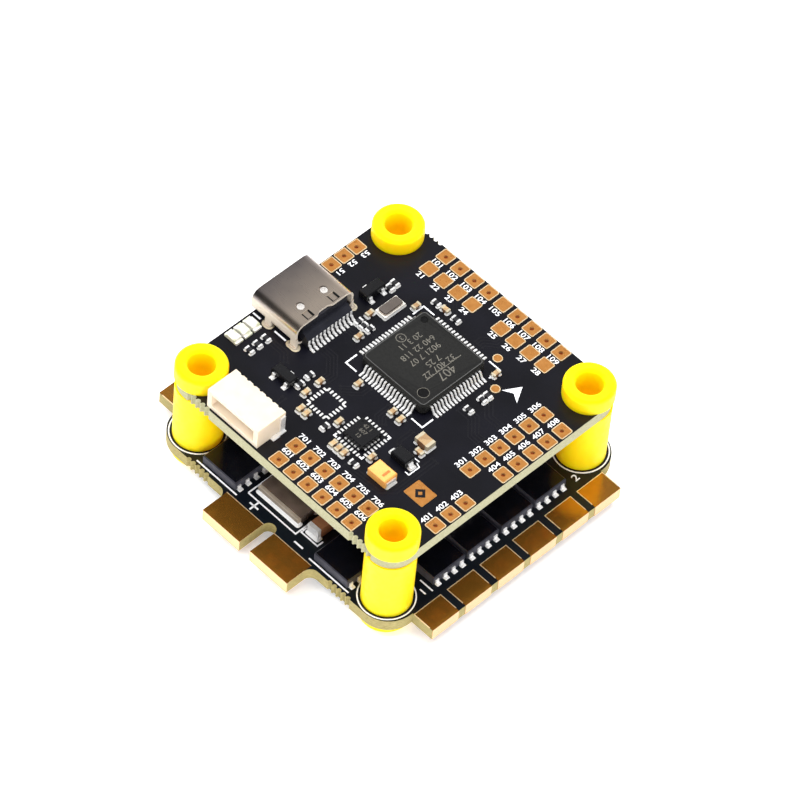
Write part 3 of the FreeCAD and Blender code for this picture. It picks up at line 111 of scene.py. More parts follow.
def srgb(red, green, blue):
    """A colour given in 0-255 screen values, as linear light with full alpha."""
    linear = []
    for value in (red, green, blue):
        share = value / 255
        low = share / 12.92
        high = ((share + 0.055) / 1.055) ** 2.4
        linear.append(low if share <= 0.04045 else high)
    return (*linear, 1.0)


class Nodes:
    """A shader node tree, with short ways to add to it."""

    def __init__(self, tree):
        self.tree = tree

    def node(self, kind, inputs=None, **settings):
        """Adds a node; an input is a value or another node's output."""
        made = self.tree.nodes.new(kind)
        for key, value in settings.items():
            setattr(made, key, value)
        for socket, value in (inputs or {}).items():
            if isinstance(value, bpy.types.NodeSocket):
                self.tree.links.new(value, made.inputs[socket])
            else:
                made.inputs[socket].default_value = value
        return made

    def range(self, value, from_low, from_high, to_low, to_high):
        limits = {"From Min": from_low, "From Max": from_high, "To Min": to_low, "To Max": to_high}
        return self.node("ShaderNodeMapRange", {"Value": value, **limits}).outputs["Result"]

    def calculate(self, operation, first, second=0.0):
        made = self.node("ShaderNodeMath", {0: first, 1: second}, operation=operation)
        return made.outputs["Value"]


class Finish(Nodes):
    """One procedural material: a Principled shader and the nodes that feed it."""

    def __init__(self, name, sockets):
        self.material = bpy.data.materials.new("finish_" + name)
        self.material.use_nodes = True
        super().__init__(self.material.node_tree)
        self.shader = self.tree.nodes["Principled BSDF"]
        for socket, value in sockets.items():
            self.shader.inputs[socket].default_value = value
        self.where = self.node("ShaderNodeTexCoord")
        self.place = self.where.outputs["Object"]

    def drive(self, socket, value):
        self.tree.links.new(value, self.shader.inputs[socket])

    def stretched(self, x, y, z):
        """The object coordinates scaled along each axis."""
        scaled = self.node("ShaderNodeMapping", {"Vector": self.place, "Scale": (x, y, z)})
        return scaled.outputs["Vector"]

    def noise(self, size, detail=3.0, roughness=0.5, place=None):
        """Cloudy values with features of about this size in millimetres."""
        inputs = {
            "Vector": place or self.place,
            "Scale": 1 / (size * MM),
            "Detail": detail,
            "Roughness": roughness,
        }
        return self.node("ShaderNodeTexNoise", inputs).outputs[0]

    def cells(self, size):
        """Distances in a cellular pattern with cells of this size in millimetres."""
        inputs = {"Vector": self.place, "Scale": 1 / (size * MM)}
        return self.node("ShaderNodeTexVoronoi", inputs).outputs["Distance"]

    def bands(self, size, direction, distortion):
        """Sine bands across one axis, this far apart in millimetres."""
        inputs = {"Vector": self.place, "Scale": math.tau / (20 * size * MM), "Distortion": distortion}
        wave = self.node("ShaderNodeTexWave", inputs, bands_direction=direction)
        return wave.outputs["Fac"]

    def mix(self, share, first, second):
        """A colour between two others, each another node's output or three 0-255 screen values."""
        first, second = (srgb(*c) if isinstance(c, tuple) else c for c in (first, second))
        made = self.node("ShaderNodeMix", {0: share, 6: first, 7: second}, data_type="RGBA")
        return made.outputs[2]

    def clouds(self, low, high, size):
        """A colour that wanders between two others, in patches of this size in millimetres."""
        return self.mix(self.range(self.noise(size, 4.0), 0.25, 0.75, 0, 1), low, high)

    def speckle(self, size, spread, grain):
        """A share that differs from one loose part of the mesh to the next, with a fine grain."""
        part = self.node("ShaderNodeNewGeometry").outputs["Random Per Island"]
        fine = self.range(self.noise(size, 4.0), 0.35, 0.7, 0, grain)
        return self.calculate("ADD", self.range(part, 0, 1, 0, spread), fine)

    def facing_up(self, low=0.69, high=0.71):
        """1 on faces that look up or down, 0 on the faces round the sides."""
        parts = self.node("ShaderNodeSeparateXYZ", {0: self.where.outputs["Normal"]})
        steep = self.calculate("ABSOLUTE", parts.outputs["Z"])
        return self.range(steep, low, high, 0, 1)

    def along(self, axis):
        """One of the object coordinates, in millimetres."""
        parts = self.node("ShaderNodeSeparateXYZ", {0: self.place})
        return self.calculate("MULTIPLY", parts.outputs[axis], 1 / MM)

    def bump(self, height, depth, strength):
        """Bends the surface normal by a height map this many millimetres deep."""
        inputs = {"Height": height, "Distance": depth * MM, "Strength": strength}
        self.drive("Normal", self.node("ShaderNodeBump", inputs).outputs["Normal"])

    def mottled(self, low, high, size):
        """Base colour that wanders between two colours."""
        self.drive("Base Color", self.clouds(low, high, size))

    def uneven_gloss(self, low, high, size):
        """Roughness that wanders between two values."""
        self.drive("Roughness", self.range(self.noise(size, 5.0), 0.3, 0.7, low, high))


def laminate(name, mask, edge, line):
    """Black solder mask over copper on the two faces, bare glass epoxy round the sides."""
    finish = Finish(name, {"Specular IOR Level": 0.3})
    clouds = finish.range(finish.noise(6.0, 2.0), 0.35, 0.65, 0, 1)
    mask = finish.mix(clouds, *mask)
    layers = finish.range(finish.bands(0.2, "Z", 1.5), 0.35, 0.9, 0, 1)
    fibre = finish.noise(0.14, 3.0, 0.6, finish.stretched(0.35, 0.35, 1.6))
    pale = finish.mix(finish.range(fibre, 0.3, 0.7, 0, 1), *edge)
    edge = finish.mix(finish.calculate("MULTIPLY", layers, 0.4), pale, line)
    flat = finish.facing_up()
    finish.drive("Base Color", finish.mix(flat, edge, mask))
    finish.drive("Roughness", finish.range(flat, 0, 1, 0.8, 0.36))
    grain = finish.calculate("MULTIPLY", finish.noise(0.3, 2.0), 0.25)
    height = finish.calculate("ADD", finish.calculate("MULTIPLY", fibre, 0.6), grain)
    finish.bump(height, 0.02, 0.5)
    return finish.material


def plating(name, dark, light, side, gloss, grain, metal):
    """Immersion gold, painted paler where it wraps round the board's edge, as painted light on the lit
    sides.
    """
    finish = Finish(name, {"Metallic": metal})
    face = finish.clouds(dark, light, 0.6)
    # Painted light: the side colour is paler than the top to stand for light falling on the sides.
    finish.drive("Base Color", finish.mix(finish.facing_up(), side, face))
    finish.uneven_gloss(gloss, gloss + 0.05, 0.8)
    finish.bump(finish.noise(0.14, 3.0), grain, 0.4)
    return finish.material


def coat(name, sockets, dark, light, size, relief, gloss=None):
    """Colour, and gloss if given, that wander in patches over a relief of this grain and depth."""
    finish = Finish(name, sockets)
    finish.mottled(dark, light, size)
    if gloss:
        finish.uneven_gloss(*gloss)
    grain, detail, depth, strength = relief
    finish.bump(finish.noise(grain, detail), depth, strength)
    return finish.material


def silicone():
    """Bright yellow rubber that lets a little light in, with a faint orange glow painted in as painted
    light to warm its shaded sides.
    """
    sockets = {
        "Subsurface Weight": 0.75,
        "Subsurface Radius": (1.0, 0.5, 0.03),
        "Subsurface Scale": 0.0028,
        "Specular IOR Level": 0.35,
        # Painted light: an orange glow, though the rubber gives no light of its own.
        "Emission Color": (1.0, 0.36, 0.0, 1.0),
        "Emission Strength": 0.14,
    }
    finish = Finish("silicone", sockets)
    finish.mottled((254, 216, 6), (255, 224, 12), 2.2)
    finish.uneven_gloss(0.42, 0.6, 0.7)
    finish.bump(finish.noise(0.05, 5.0, 0.6), 0.006, 0.4)
    return finish.material


def epoxy(name, dark, light, gloss, grain, grain_size=0.06):
    """Moulded black chip package with a fine spark-eroded grain."""
    finish = Finish(name, {"Specular IOR Level": 0.4})
    finish.drive("Base Color", finish.mix(finish.speckle(0.09, 0.6, 0.4), dark, light))
    finish.uneven_gloss(gloss, gloss + 0.16, 0.4)
    finish.bump(finish.noise(grain_size, 3.0, 0.6), grain, 0.5)
    return finish.material


def power_package():
    """Glossy navy-black top over duller sides, which are painted lighter grey as a painted reflection."""
    finish = Finish("power_package", {"Specular IOR Level": 0.4})
    cloud = finish.range(finish.noise(1.5, 2.0), 0.3, 0.7, 0, 1)
    top = finish.mix(cloud, (9, 10, 15), (13, 14, 21))
    # Painted reflection: the sides are painted lighter grey than the top.
    painted_flank = finish.mix(cloud, (58, 58, 66), (78, 78, 88))
    flat = finish.facing_up(0.5, 0.9)
    finish.drive("Base Color", finish.mix(flat, painted_flank, top))
    finish.drive("Roughness", finish.range(flat, 0, 1, 0.5, 0.14))
    finish.bump(finish.noise(0.9, 1.0), 0.0015, 0.4)
    return finish.material


def tin(name, metal):
    """Solder and tinned leads: bright, a little grainy."""
    relief, gloss = (0.25, 3.0, 0.004, 0.4), (0.26, 0.4, 0.25)
    return coat(name, {"Metallic": metal}, (240, 240, 240), (254, 254, 253), 0.4, relief, gloss)


def shell_plate():
    """Nickel-plated USB shell with faint drawing lines; its top is painted darker towards its mouth as
    painted shade and reflection, and its sides are painted pale as painted light.
    """
    finish = Finish("shell_steel", {"Metallic": 1.0})
    low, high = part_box("usb_shell")
    # Painted shade and reflection: the top runs from dark grey at the mouth to pale at the rear.
    wander = finish.calculate("MULTIPLY", finish.noise(3.0, 3.0), 2.5)
    depth = finish.calculate("ADD", finish.along("X"), wander)
    share = finish.range(depth, low.x / MM + 1.2, high.x / MM - 0.3, 0, 1)
    near = finish.mix(share, (140, 132, 132), (222, 206, 190))
    flat = finish.facing_up(0.12, 0.4)
    # Painted light: the sides get a pale, barely metallic colour so they read as lit.
    finish.drive("Base Color", finish.mix(flat, (240, 228, 212), near))
    finish.drive("Metallic", finish.range(flat, 0, 1, 0.15, 1.0))
    lines = finish.noise(0.12, 2.0, 0.5, finish.stretched(0.05, 1.0, 1.0))
    grit = finish.noise(0.16, 3.0)
    drawn = finish.range(lines, 0.3, 0.7, 0.27, 0.3)
    rougher = finish.range(flat, 0, 1, 0.2, 0)
    finish.drive("Roughness", finish.calculate("ADD", drawn, rougher))
    relief = finish.calculate("MULTIPLY", grit, finish.range(flat, 0, 1, 1.0, 0.04))
    finish.bump(relief, 0.012, 0.4)
    return finish.material


def nickel(name, dark, light, metal=1.0):
    """Drawn sheet metal, with faint lines along X."""
    finish = Finish(name, {"Metallic": metal})
    finish.mottled(dark, light, 2.5)
    lines = finish.noise(0.12, 2.0, 0.5, finish.stretched(0.05, 1.0, 1.0))
    finish.drive("Roughness", finish.range(lines, 0.3, 0.7, 0.2, 0.26))
    finish.bump(lines, 0.0004, 0.3)
    return finish.material


def nylon(name, dark, light, glow):
    """Moulded nylon: satin, a little uneven, faintly translucent when pale, with a faint warm glow painted
    in as painted light when pale.
    """
    sockets = {
        "Subsurface Weight": glow,
        "Subsurface Radius": (1.0, 0.8, 0.5),
        "Subsurface Scale": 0.0008,
        "Specular IOR Level": 0.4,
        # Painted light: a warm glow that grows with glow, though the nylon gives no light of its own.
        "Emission Color": (1.0, 0.74, 0.5, 1.0),
        "Emission Strength": 0.3 * glow,
    }
    return coat(name, sockets, dark, light, 1.8, (0.07, 4.0, 0.006, 0.5), (0.38, 0.55, 0.6))


def layered_ceramic(name, lit_top_dark, lit_top_light, shaded_side_dark, shaded_side_light):
    """Capacitor bodies, each with its own tone: painted pale on top as painted light and browner round the
    sides as painted shade.
    """
    finish = Finish(name, {"Specular IOR Level": 0.5})
    share = finish.speckle(0.12, 0.75, 0.35)
    top = finish.mix(share, lit_top_dark, lit_top_light)
    side = finish.mix(share, shaded_side_dark, shaded_side_light)
    # Painted light and shade: the top and the sides are lit and shaded copies of one ceramic.
    finish.drive("Base Color", finish.mix(finish.facing_up(), side, top))
    finish.uneven_gloss(0.26, 0.4, 0.3)
    finish.bump(finish.noise(0.1, 4.0), 0.004, 0.5)
    return finish.material


def ceramic(name, dark, light, gloss):
    """Fired ceramic or resin chip bodies, each with its own tone."""
    finish = Finish(name, {"Specular IOR Level": 0.5})
    finish.drive("Base Color", finish.mix(finish.speckle(0.12, 0.75, 0.35), dark, light))
    finish.uneven_gloss(gloss, gloss + 0.16, 0.3)
    finish.bump(finish.noise(0.05, 4.0), 0.006, 0.5)
    return finish.material


def lens():
    """Clear resin over the pale cup of a light emitter."""
    finish = Finish("led_lens", {"Coat Weight": 0.6, "Coat Roughness": 0.12, "Roughness": 0.35})
    warm = finish.range(finish.cells(0.7), 0.1, 0.7, 0, 1)
    finish.drive("Base Color", finish.mix(warm, (190, 196, 160), (234, 230, 224)))
    finish.bump(finish.noise(0.2, 3.0), 0.01, 0.4)
    return finish.material


def marking(name, gloss, wear, spread, dark, light, relief):
    """Thin print or laser marking, worn in small spots over a fine relief."""
    finish = Finish(name, {"Roughness": gloss})
    worn = finish.range(finish.noise(wear, 5.0), *spread, 0, 1)
    finish.drive("Base Color", finish.mix(worn, dark, light))
    grain, depth, strength = relief
    finish.bump(finish.noise(grain, 4.0), depth, strength)
    return finish.material


FINISHES = {
    "board_laminate": laminate(
        "board_laminate",
        mask=((9, 9, 15), (15, 15, 23)),
        edge=((166, 162, 126), (204, 200, 170)),
        line=(132, 134, 98),
    ),
    # The pale third colour is painted light on the sides of the pads.
    "gold_plating": plating("pad_gold", (184, 122, 58), (200, 138, 72), (232, 196, 130), 0.26, 0.003, 0.5),
    "silicone": silicone(),
    "chip_epoxy": epoxy("chip_epoxy", (20, 20, 20), (33, 33, 32), 0.5, 0.006),
    "tinned_metal": tin("tinned_metal", 0.5),
    "shell_steel": shell_plate(),
    "switch_steel": nickel("switch_steel", (176, 176, 176), (206, 206, 206)),
    "black_nylon": nylon("black_nylon", (26, 27, 33), (40, 41, 49), 0.0),
    "ivory_nylon": nylon("ivory_nylon", (212, 198, 176), (222, 210, 192), 0.4),
    "capacitor_ceramic": layered_ceramic(
        "capacitor_ceramic", (144, 112, 80), (192, 164, 122), (100, 68, 44), (156, 118, 84)
    ),
    "resistor_film": ceramic("resistor_film", (24, 24, 26), (44, 44, 48), 0.25),
    "white_ceramic": ceramic("white_ceramic", (206, 200, 190), (238, 234, 226), 0.45),
    "tantalum_resin": ceramic("tantalum_resin", (236, 160, 76), (250, 190, 112), 0.36),
    "led_lens": lens(),
    "inductor_ferrite": ceramic("inductor_ferrite", (58, 58, 60), (84, 84, 86), 0.5),
    "shunt_alloy": nickel("shunt_alloy", (112, 96, 86), (160, 140, 126), 0.6),
    "button_plastic": nylon("button_plastic", (222, 218, 206), (240, 236, 226), 0.1),
}
DRIVER_LAMINATE = laminate(
    "driver_laminate",
    mask=((7, 11, 20), (14, 20, 26)),
    edge=((152, 140, 88), (194, 180, 126)),
    line=(132, 122, 74),
)
# Motor and battery tab gold; its pale third colour is painted light on the sides of the tabs.
TAB_GOLD = plating("tab_gold", (168, 114, 42), (180, 123, 47), (240, 196, 146), 0.14, 0.001, 0.8)
POLISHED_EPOXY = epoxy("polished_epoxy", (13, 13, 15), (20, 20, 23), 0.2, 0.001, 0.5)
POWER_PACKAGE = power_package()
BRIGHT_TIN = tin("bright_tin", 0.1)
# Painted dark reflection on the ejector marks and painted shade in the slits of the USB shell.
PAINTED_DARK = epoxy("painted_shade_and_reflection", (6, 6, 7), (12, 12, 13), 0.5, 0.004)
# Painted highlight along the bevel of the processor package.
BEVEL_GLINT = epoxy("bevel_glint", (70, 70, 70), (98, 98, 96), 0.4, 0.004)
CHIP_END = nickel("chip_end", (208, 192, 158), (234, 224, 200), 0.5)
SHUNT_END = nickel("shunt_end", (196, 180, 160), (220, 206, 188), 0.5)
# Painted highlight: near-white nickel for the floors of the shell's dimples.
DIMPLE_HIGHLIGHT = nickel("dimple_highlight", (240, 234, 228), (252, 248, 244), 0.65)
BULK_CERAMIC = layered_ceramic("bulk_ceramic", (124, 82, 54), (150, 104, 72), (96, 60, 38), (126, 82, 54))
LID_NICKEL = nickel("lid_nickel", (158, 146, 138), (186, 174, 166))
SPECIAL_FINISHES = {
    "driver_board": DRIVER_LAMINATE,
    **dict.fromkeys(("left_motor_pads", "right_motor_pads", "battery_pads"), TAB_GOLD),
    **dict.fromkeys(("upper_mosfets", "lower_mosfets"), POWER_PACKAGE),
    "upper_mosfet_leads": BRIGHT_TIN,
    **dict.fromkeys(("rectifier_diode", "small_transistors", "gyro_package"), POLISHED_EPOXY),
    "driver_capacitors": BULK_CERAMIC,
    "fc_capacitor_ends": CHIP_END,
    "shunt_terminals": SHUNT_END,
    "crystal_lid": LID_NICKEL,
}
INK_DARK, INK_LIGHT = (196, 198, 204), (246, 247, 250)
INK = marking("legend_ink", 0.6, 0.16, (0.28, 0.5), INK_DARK, INK_LIGHT, (0.08, 0.005, 0.4))
MARK_DARK, MARK_LIGHT = (82, 80, 76), (122, 118, 108)
LASER = marking("laser_mark", 0.7, 0.09, (0.3, 0.7), MARK_DARK, MARK_LIGHT, (0.04, 0.006, 0.5))
# Pale line where the mask ends round a gold pad.
LIP_DARK, LIP_LIGHT = (240, 206, 156), (252, 232, 194)
LIP_RELIEF, LIP_GLOSS = (0.05, 4.0, 0.004, 0.4), (0.35, 0.5, 0.2)
LIP = coat("pad_lip", {"Metallic": 0.6}, LIP_DARK, LIP_LIGHT, 0.3, LIP_RELIEF, LIP_GLOSS)
# Solder mask where it runs over raised copper.
MASK_GLOSS = {"Roughness": 0.34, "Specular IOR Level": 0.35}
COPPER = coat("covered_copper", MASK_GLOSS, (13, 13, 18), (20, 20, 26), 1.2, (0.12, 3.0, 0.006, 0.4))
# Brown copper bore at the bottom of a plated hole, darkened as painted shade.
BORE_SHADE = coat("hole_shade", {"Roughness": 0.55}, (104, 36, 10), (156, 76, 26), 0.15, (0.05, 4.0, 0.01, 0.6))
# The orange-red bar at the positive end of the tantalum capacitor.
BAR_RED, BAR_ORANGE = (222, 98, 44), (244, 132, 70)
POLARITY = coat("polarity_ink", {"Roughness": 0.5}, BAR_RED, BAR_ORANGE, 0.2, (0.08, 4.0, 0.004, 0.4))


def dress_nodes():
    """Gives every carried-over node the finish of its material slot."""
    for name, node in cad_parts.items():
        for place in node.material_slots:
            place.material = SPECIAL_FINISHES.get(name) or FINISHES[place.material.name]


# ---------------- mesh tools


def islands(name):
    """The lowest and highest corners, in millimetres, of each loose part of a node."""
    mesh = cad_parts[name].data
    points = np.zeros(len(mesh.vertices) * 3)
    mesh.vertices.foreach_get("co", points)
    points = points.reshape(-1, 3) / MM
    twins = {}
    same = [twins.setdefault(tuple(np.round(p, 3)), i) for i, p in enumerate(points)]
    root = list(range(len(points)))

    def find(index):
        while root[index] != index:
            root[index] = root[root[index]]
            index = root[index]
        return index

    for face in mesh.polygons:
        corners = [find(same[v]) for v in face.vertices]
        for corner in corners[1:]:
            root[find(corner)] = find(corners[0])
    parts = {}
    for index in range(len(points)):
        parts.setdefault(find(same[index]), []).append(index)
    return [(Vector(points[part].min(0)), Vector(points[part].max(0))) for part in parts.values()]


def box_of(name):
    """A node's corners in millimetres."""
    low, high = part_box(name)
    return low / MM, high / MM


def rounded(low, high, radius, steps=3):
    """Outline of a rectangle with rounded corners."""
    radius = min(radius, (high[0] - low[0]) / 2.01, (high[1] - low[1]) / 2.01)
    left, right = low[0] + radius, high[0] - radius
    front, back = low[1] + radius, high[1] - radius
    outline = []
    for turn, (x, y) in enumerate(((right, back), (left, back), (left, front), (right, front))):
        for step in range(steps + 1):
            angle = math.radians(90 * turn + 90 * step / steps)
            outline.append((x + radius * math.cos(angle), y + radius * math.sin(angle)))
    return outline


def circle(x, y, radius, steps=32):
    turns = [math.tau * step / steps for step in range(steps)]
    return [(x + radius * math.cos(turn), y + radius * math.sin(turn)) for turn in turns]


def offset_line(points, distance):
    """A line of points moved sideways by a distance, with mitred corners."""
    points = [Vector(point) for point in points]
    moved = []
    for index, point in enumerate(points):
        before = points[max(index - 1, 0)]
        after = points[min(index + 1, len(points) - 1)]
        arrive = (point - before).normalized() if index else (after - point).normalized()
        leave = (after - point).normalized() if index < len(points) - 1 else arrive
        side = Vector((-arrive.y - leave.y, arrive.x + leave.x)).normalized()
        stretch = max(side.dot(Vector((-arrive.y, arrive.x))), 0.3)
        moved.append(point + side * distance / stretch)
    return moved


class Build:
    """Collects closed shapes, given in millimetres, into the mesh of one piece."""

    def __init__(self):
        self.mesh = bmesh.new()

    def ring(self, outline, height):
        return [self.mesh.verts.new((x * MM, y * MM, height * MM)) for x, y in outline]

    def skin(self, first, second):
        """Faces between two rings of as many corners."""
        for index in range(len(first)):
            self.mesh.faces.new((first[index - 1], first[index], second[index], second[index - 1]))

    def loft(self, sections):
        """A closed skin over outlines of equal length, each with its height."""
        rings = [self.ring(outline, height) for outline, height in sections]
        for low, high in zip(rings, rings[1:]):
            self.skin(low, high)
        self.mesh.faces.new(rings[0][::-1])
        self.mesh.faces.new(rings[-1])

    def prism(self, outline, low, high):
        self.loft(((outline, low), (outline, high)))

    def band(self, outer, inner, low, high):
        """A closed flat frame between two outlines of equal length."""
        rings = [self.ring(o, h) for o, h in ((outer, low), (outer, high), (inner, high), (inner, low))]
        for first, second in zip(rings, rings[1:] + rings[:1]):
            self.skin(first, second)

    def ribbon(self, points, width, low, high):
        """A closed strip of this width along a line of points."""
        left = offset_line(points, width / 2)
        right = offset_line(points, -width / 2)
        sections = []
        for a, b in zip(left, right):
            corners = ((a, low), (b, low), (b, high), (a, high))
            sections.append([self.mesh.verts.new((p.x * MM, p.y * MM, h * MM)) for p, h in corners])
        for first, second in zip(sections, sections[1:]):
            self.skin(first, second)
        self.mesh.faces.new(sections[0][::-1])
        self.mesh.faces.new(sections[-1])

    def digits(self, text, place, height, turn, rise=INK_RISE, bold=LABEL_BOLD, widen=LABEL_WIDEN):
        """Raised digits centred on a point, turned anticlockwise by this many degrees."""
        curve = bpy.data.curves.new("digits", "FONT")
        curve.body = text
        curve.align_x = "CENTER"
        curve.align_y = "CENTER"
        curve.size = height * MM / 0.7
        curve.offset = bold * curve.size
        curve.extrude = rise * MM
        curve.resolution_u = 3
        holder = bpy.data.objects.new("digits", curve)
        mesh = bpy.data.meshes.new_from_object(holder)
        turned = Matrix.Rotation(math.radians(turn), 4, "Z")
        wide = Matrix.Diagonal((widen, 1, 1, 1))
        mesh.transform(Matrix.Translation(Vector(place) * MM) @ turned @ wide)
        self.mesh.from_mesh(mesh)
        bpy.data.objects.remove(holder)
        bpy.data.curves.remove(curve)
        bpy.data.meshes.remove(mesh)

    def piece(self, name, material, smooth=False):
        """The finished piece, riding on the stack."""
        bmesh.ops.recalc_face_normals(self.mesh, faces=self.mesh.faces)
        mesh = bpy.data.meshes.new(name)
        self.mesh.to_mesh(mesh)
        self.mesh.free()
        mesh.materials.append(material)
        for face in mesh.polygons:
            face.use_smooth = smooth
        made = bpy.data.objects.new(name, mesh)
        bpy.context.scene.collection.objects.link(made)
        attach(made, STACK)

    def solder(self, name, material):
        self.piece(name, material, smooth=True)


# ---------------- positions

FC_LOW, FC_HIGH = box_of("fc_board")
DRIVER_LOW, DRIVER_HIGH = box_of("driver_board")
FC_TOP = FC_HIGH.z
FC_BOTTOM = FC_LOW.z
DRIVER_TOP = DRIVER_HIGH.z
DRIVER_BOTTOM = DRIVER_LOW.z
FC_PADS = islands("fc_solder_pads")
USB_LOW, USB_HIGH = box_of("usb_shell")
USB_MIDDLE = (USB_LOW.y + USB_HIGH.y) / 2


def centre(part):
    return (part[0] + part[1]) / 2


def size_of(part):
    return part[1] - part[0]


# ---------------- solder


def solder_skirt(build, part, surface, spread, height):
    """Solder that climbs the sides of a terminal in a hollow curve."""
    sign = 1 if centre(part).z > surface else -1
    sections = []
    for share, climb in ((1.0, -0.1), (1.0, 0.06), (0.62, 0.16), (0.3, 0.42), (0.1, 0.8), (-0.06, 1.0)):
        grow = Vector((share * spread, share * spread, 0))
        low = part[0] - grow
        high = part[1] + grow
        sections.append((rounded(low, high, 0.06 + share * spread), surface + sign * climb * height))
    build.loft(sections)


def solder_land(build, low, high, surface, height, sign=1):
    """A pad with a shallow dome of solder on it."""
    sections = []
    for inset, climb in ((0.0, -0.4), (0.0, 0.3), (0.04, 0.75), (0.1, 1.0)):
        shrink = min(inset, (high[0] - low[0]) * 0.3, (high[1] - low[1]) * 0.3)
        outline = rounded(
            (low[0] + shrink, low[1] + shrink), (high[0] - shrink, high[1] - shrink), 0.07, 2
        )
        sections.append((outline, surface + sign * climb * height))
    build.loft(sections)


def land_round(build, name, surface, margin, height, sign=1):
    """A solder land this much larger than each part of a node."""
    grow = Vector((margin, margin))
    for part in islands(name):
        solder_land(build, part[0].xy - grow, part[1].xy + grow, surface, height, sign)


def skirts(build, names, surface, spread, height):
    """Skirts of solder round every part of these nodes."""
    for name in names:
        for part in islands(name):
            solder_skirt(build, part, surface, spread, height)


def pin_lands(build, name, surface):
    """Lands under the tails of a socket's pins."""
    for part in islands(name):
        if part[0].z < surface + 0.05:
            low = (part[0].x - 0.08, part[0].y - 0.16)
            high = (part[1].x + 0.08, part[0].y + 0.9)
            solder_land(build, low, high, surface, LAND_DOME)


def toe_land(build, part, surface, outward, length, beyond, side, sign=1):
    """The solder pad under the outer end of a lead that runs outward along X or Y."""
    low = [part[0].x - side, part[0].y - side]
    high = [part[1].x + side, part[1].y + side]
    axis = 0 if outward[0] else 1
    if outward[axis] > 0:
        high[axis] = part[1][axis] + beyond
        low[axis] = high[axis] - length - beyond
    else:
        low[axis] = part[0][axis] - beyond
        high[axis] = low[axis] + length + beyond
    solder_land(build, low, high, surface, LAND_DOME, sign)


def outward_from(part, middle, spans):
    """Which side of a package a lead leaves by."""
    away = centre(part) - middle
    if abs(away.x) / spans.x > abs(away.y) / spans.y:
        return (math.copysign(1, away.x), 0)
    return (0, math.copysign(1, away.y))


def toe_lands(build, leads, package, surface, sizes, sign=1):
    """Lands under the leads that leave a package by its sides."""
    body = box_of(package)
    for part in islands(leads):
        outward = outward_from(part, centre(body), size_of(body))
        toe_land(build, part, surface, outward, **sizes, sign=sign)


def fc_top_solder():
    """Solder at every terminal on the upper face of the flight controller."""
    build = Build()
    skirts(build, ("fc_capacitor_ends",), FC_TOP, 0.14, 0.26)
    skirts(build, ("fc_resistor_ends",), FC_TOP, 0.14, 0.18)
    skirts(build, ("tantalum_terminals", "rectifier_leads", "crystal_ceramic"), FC_TOP, 0.14, 0.22)
    land_round(build, "small_transistor_leads", FC_TOP, 0.1, LAND_DOME)
    toe_lands(build, "mcu_leads", "mcu_package", FC_TOP, MCU_LAND)
    land_round(build, "gyro_terminals", FC_TOP, 0.0, 0.16)
    for part in islands("usb_contacts"):
        if size_of(part).z > 0.3 and part[0].z < FC_TOP + 0.05:
            toe_land(build, part, FC_TOP, (1, 0), **USB_LAND)
    pin_lands(build, "uart_connector_pins", FC_TOP)
    build.solder("fc_solder", FINISHES["tinned_metal"])


def usb_leg_solder():
    """Oval gold pads and solder round the four legs of the USB shell."""
    pads = Build()
    build = Build()
    for x, half_length in USB_LEGS:
        for y in (USB_LOW.y + 0.05, USB_HIGH.y - 0.05):
            corner = Vector((half_length, USB_LEG_PAD_HALF_WIDTH))
            spot = Vector((x, y))
            outline = rounded(spot - corner, spot + corner, USB_LEG_PAD_HALF_WIDTH, 8)
            filled = rounded(spot - corner * 0.72, spot + corner * 0.72, 0.39, 8)
            inner = rounded(spot - corner * 0.5, spot + corner * 0.5, 0.27, 8)
            pads.prism(outline, FC_TOP - BURIED, FC_TOP + PAD_RISE)
            sections = ((filled, 0.5), (filled, 1.4), (inner, 2.6))
            build.loft([(shape, FC_TOP + climb * PAD_RISE) for shape, climb in sections])
    pads.piece("usb_leg_pads", CHIP_END)
    build.solder("usb_leg_solder", SHUNT_END)


def land_ring(build, middle, reach, count, pitch, long, wide):
    """Solder lands in a row on each side of a square."""
    for turn in range(4):
        rotation = Matrix.Rotation(turn * math.pi / 2, 2)
        for step in range(count):
            along = (step - (count - 1) / 2) * pitch
            spot = middle + rotation @ Vector((reach, along))
            half = rotation @ Vector((long / 2, wide / 2))
            half = Vector((abs(half.x), abs(half.y)))
            solder_land(build, spot - half, spot + half, FC_TOP, 0.04)


def bare_lands():
    """Tinned lands of an empty chip place, and those left round the smaller motion sensor."""
    build = Build()
    land_ring(build, Vector(SPARE_CENTRE), **SPARE_RING)
    land_ring(build, centre(box_of("gyro_package")).xy, **GYRO_RING)
    build.solder("bare_lands", FINISHES["tinned_metal"])


def driver_top_solder():
    """Solder at the terminals on the upper face of the driver board."""
    build = Build()
    land_round(build, "upper_mosfet_leads", DRIVER_TOP, 0.08, 0.09)
    skirts(build, ("driver_chip_terminals",), DRIVER_TOP, 0.06, 0.1)
    skirts(build, ("driver_capacitor_ends", "shunt_terminals"), DRIVER_TOP, 0.24, 0.5)
    pin_lands(build, "driver_link_pins", DRIVER_TOP)
    build.solder("driver_solder", BRIGHT_TIN)


def underside_solder():
    """Solder on the lower faces of both boards."""
    build = Build()
    skirts(build, ("fc_lower_capacitor_ends",), FC_BOTTOM, 0.14, 0.24)
    land_round(build, "lower_mosfet_leads", DRIVER_BOTTOM, 0.08, 0.09, -1)
    toe_lands(build, "osd_chip_leads", "osd_chip", FC_BOTTOM, OSD_LAND, -1)
    build.solder("underside_solder", FINISHES["tinned_metal"])


# ---------------- legend


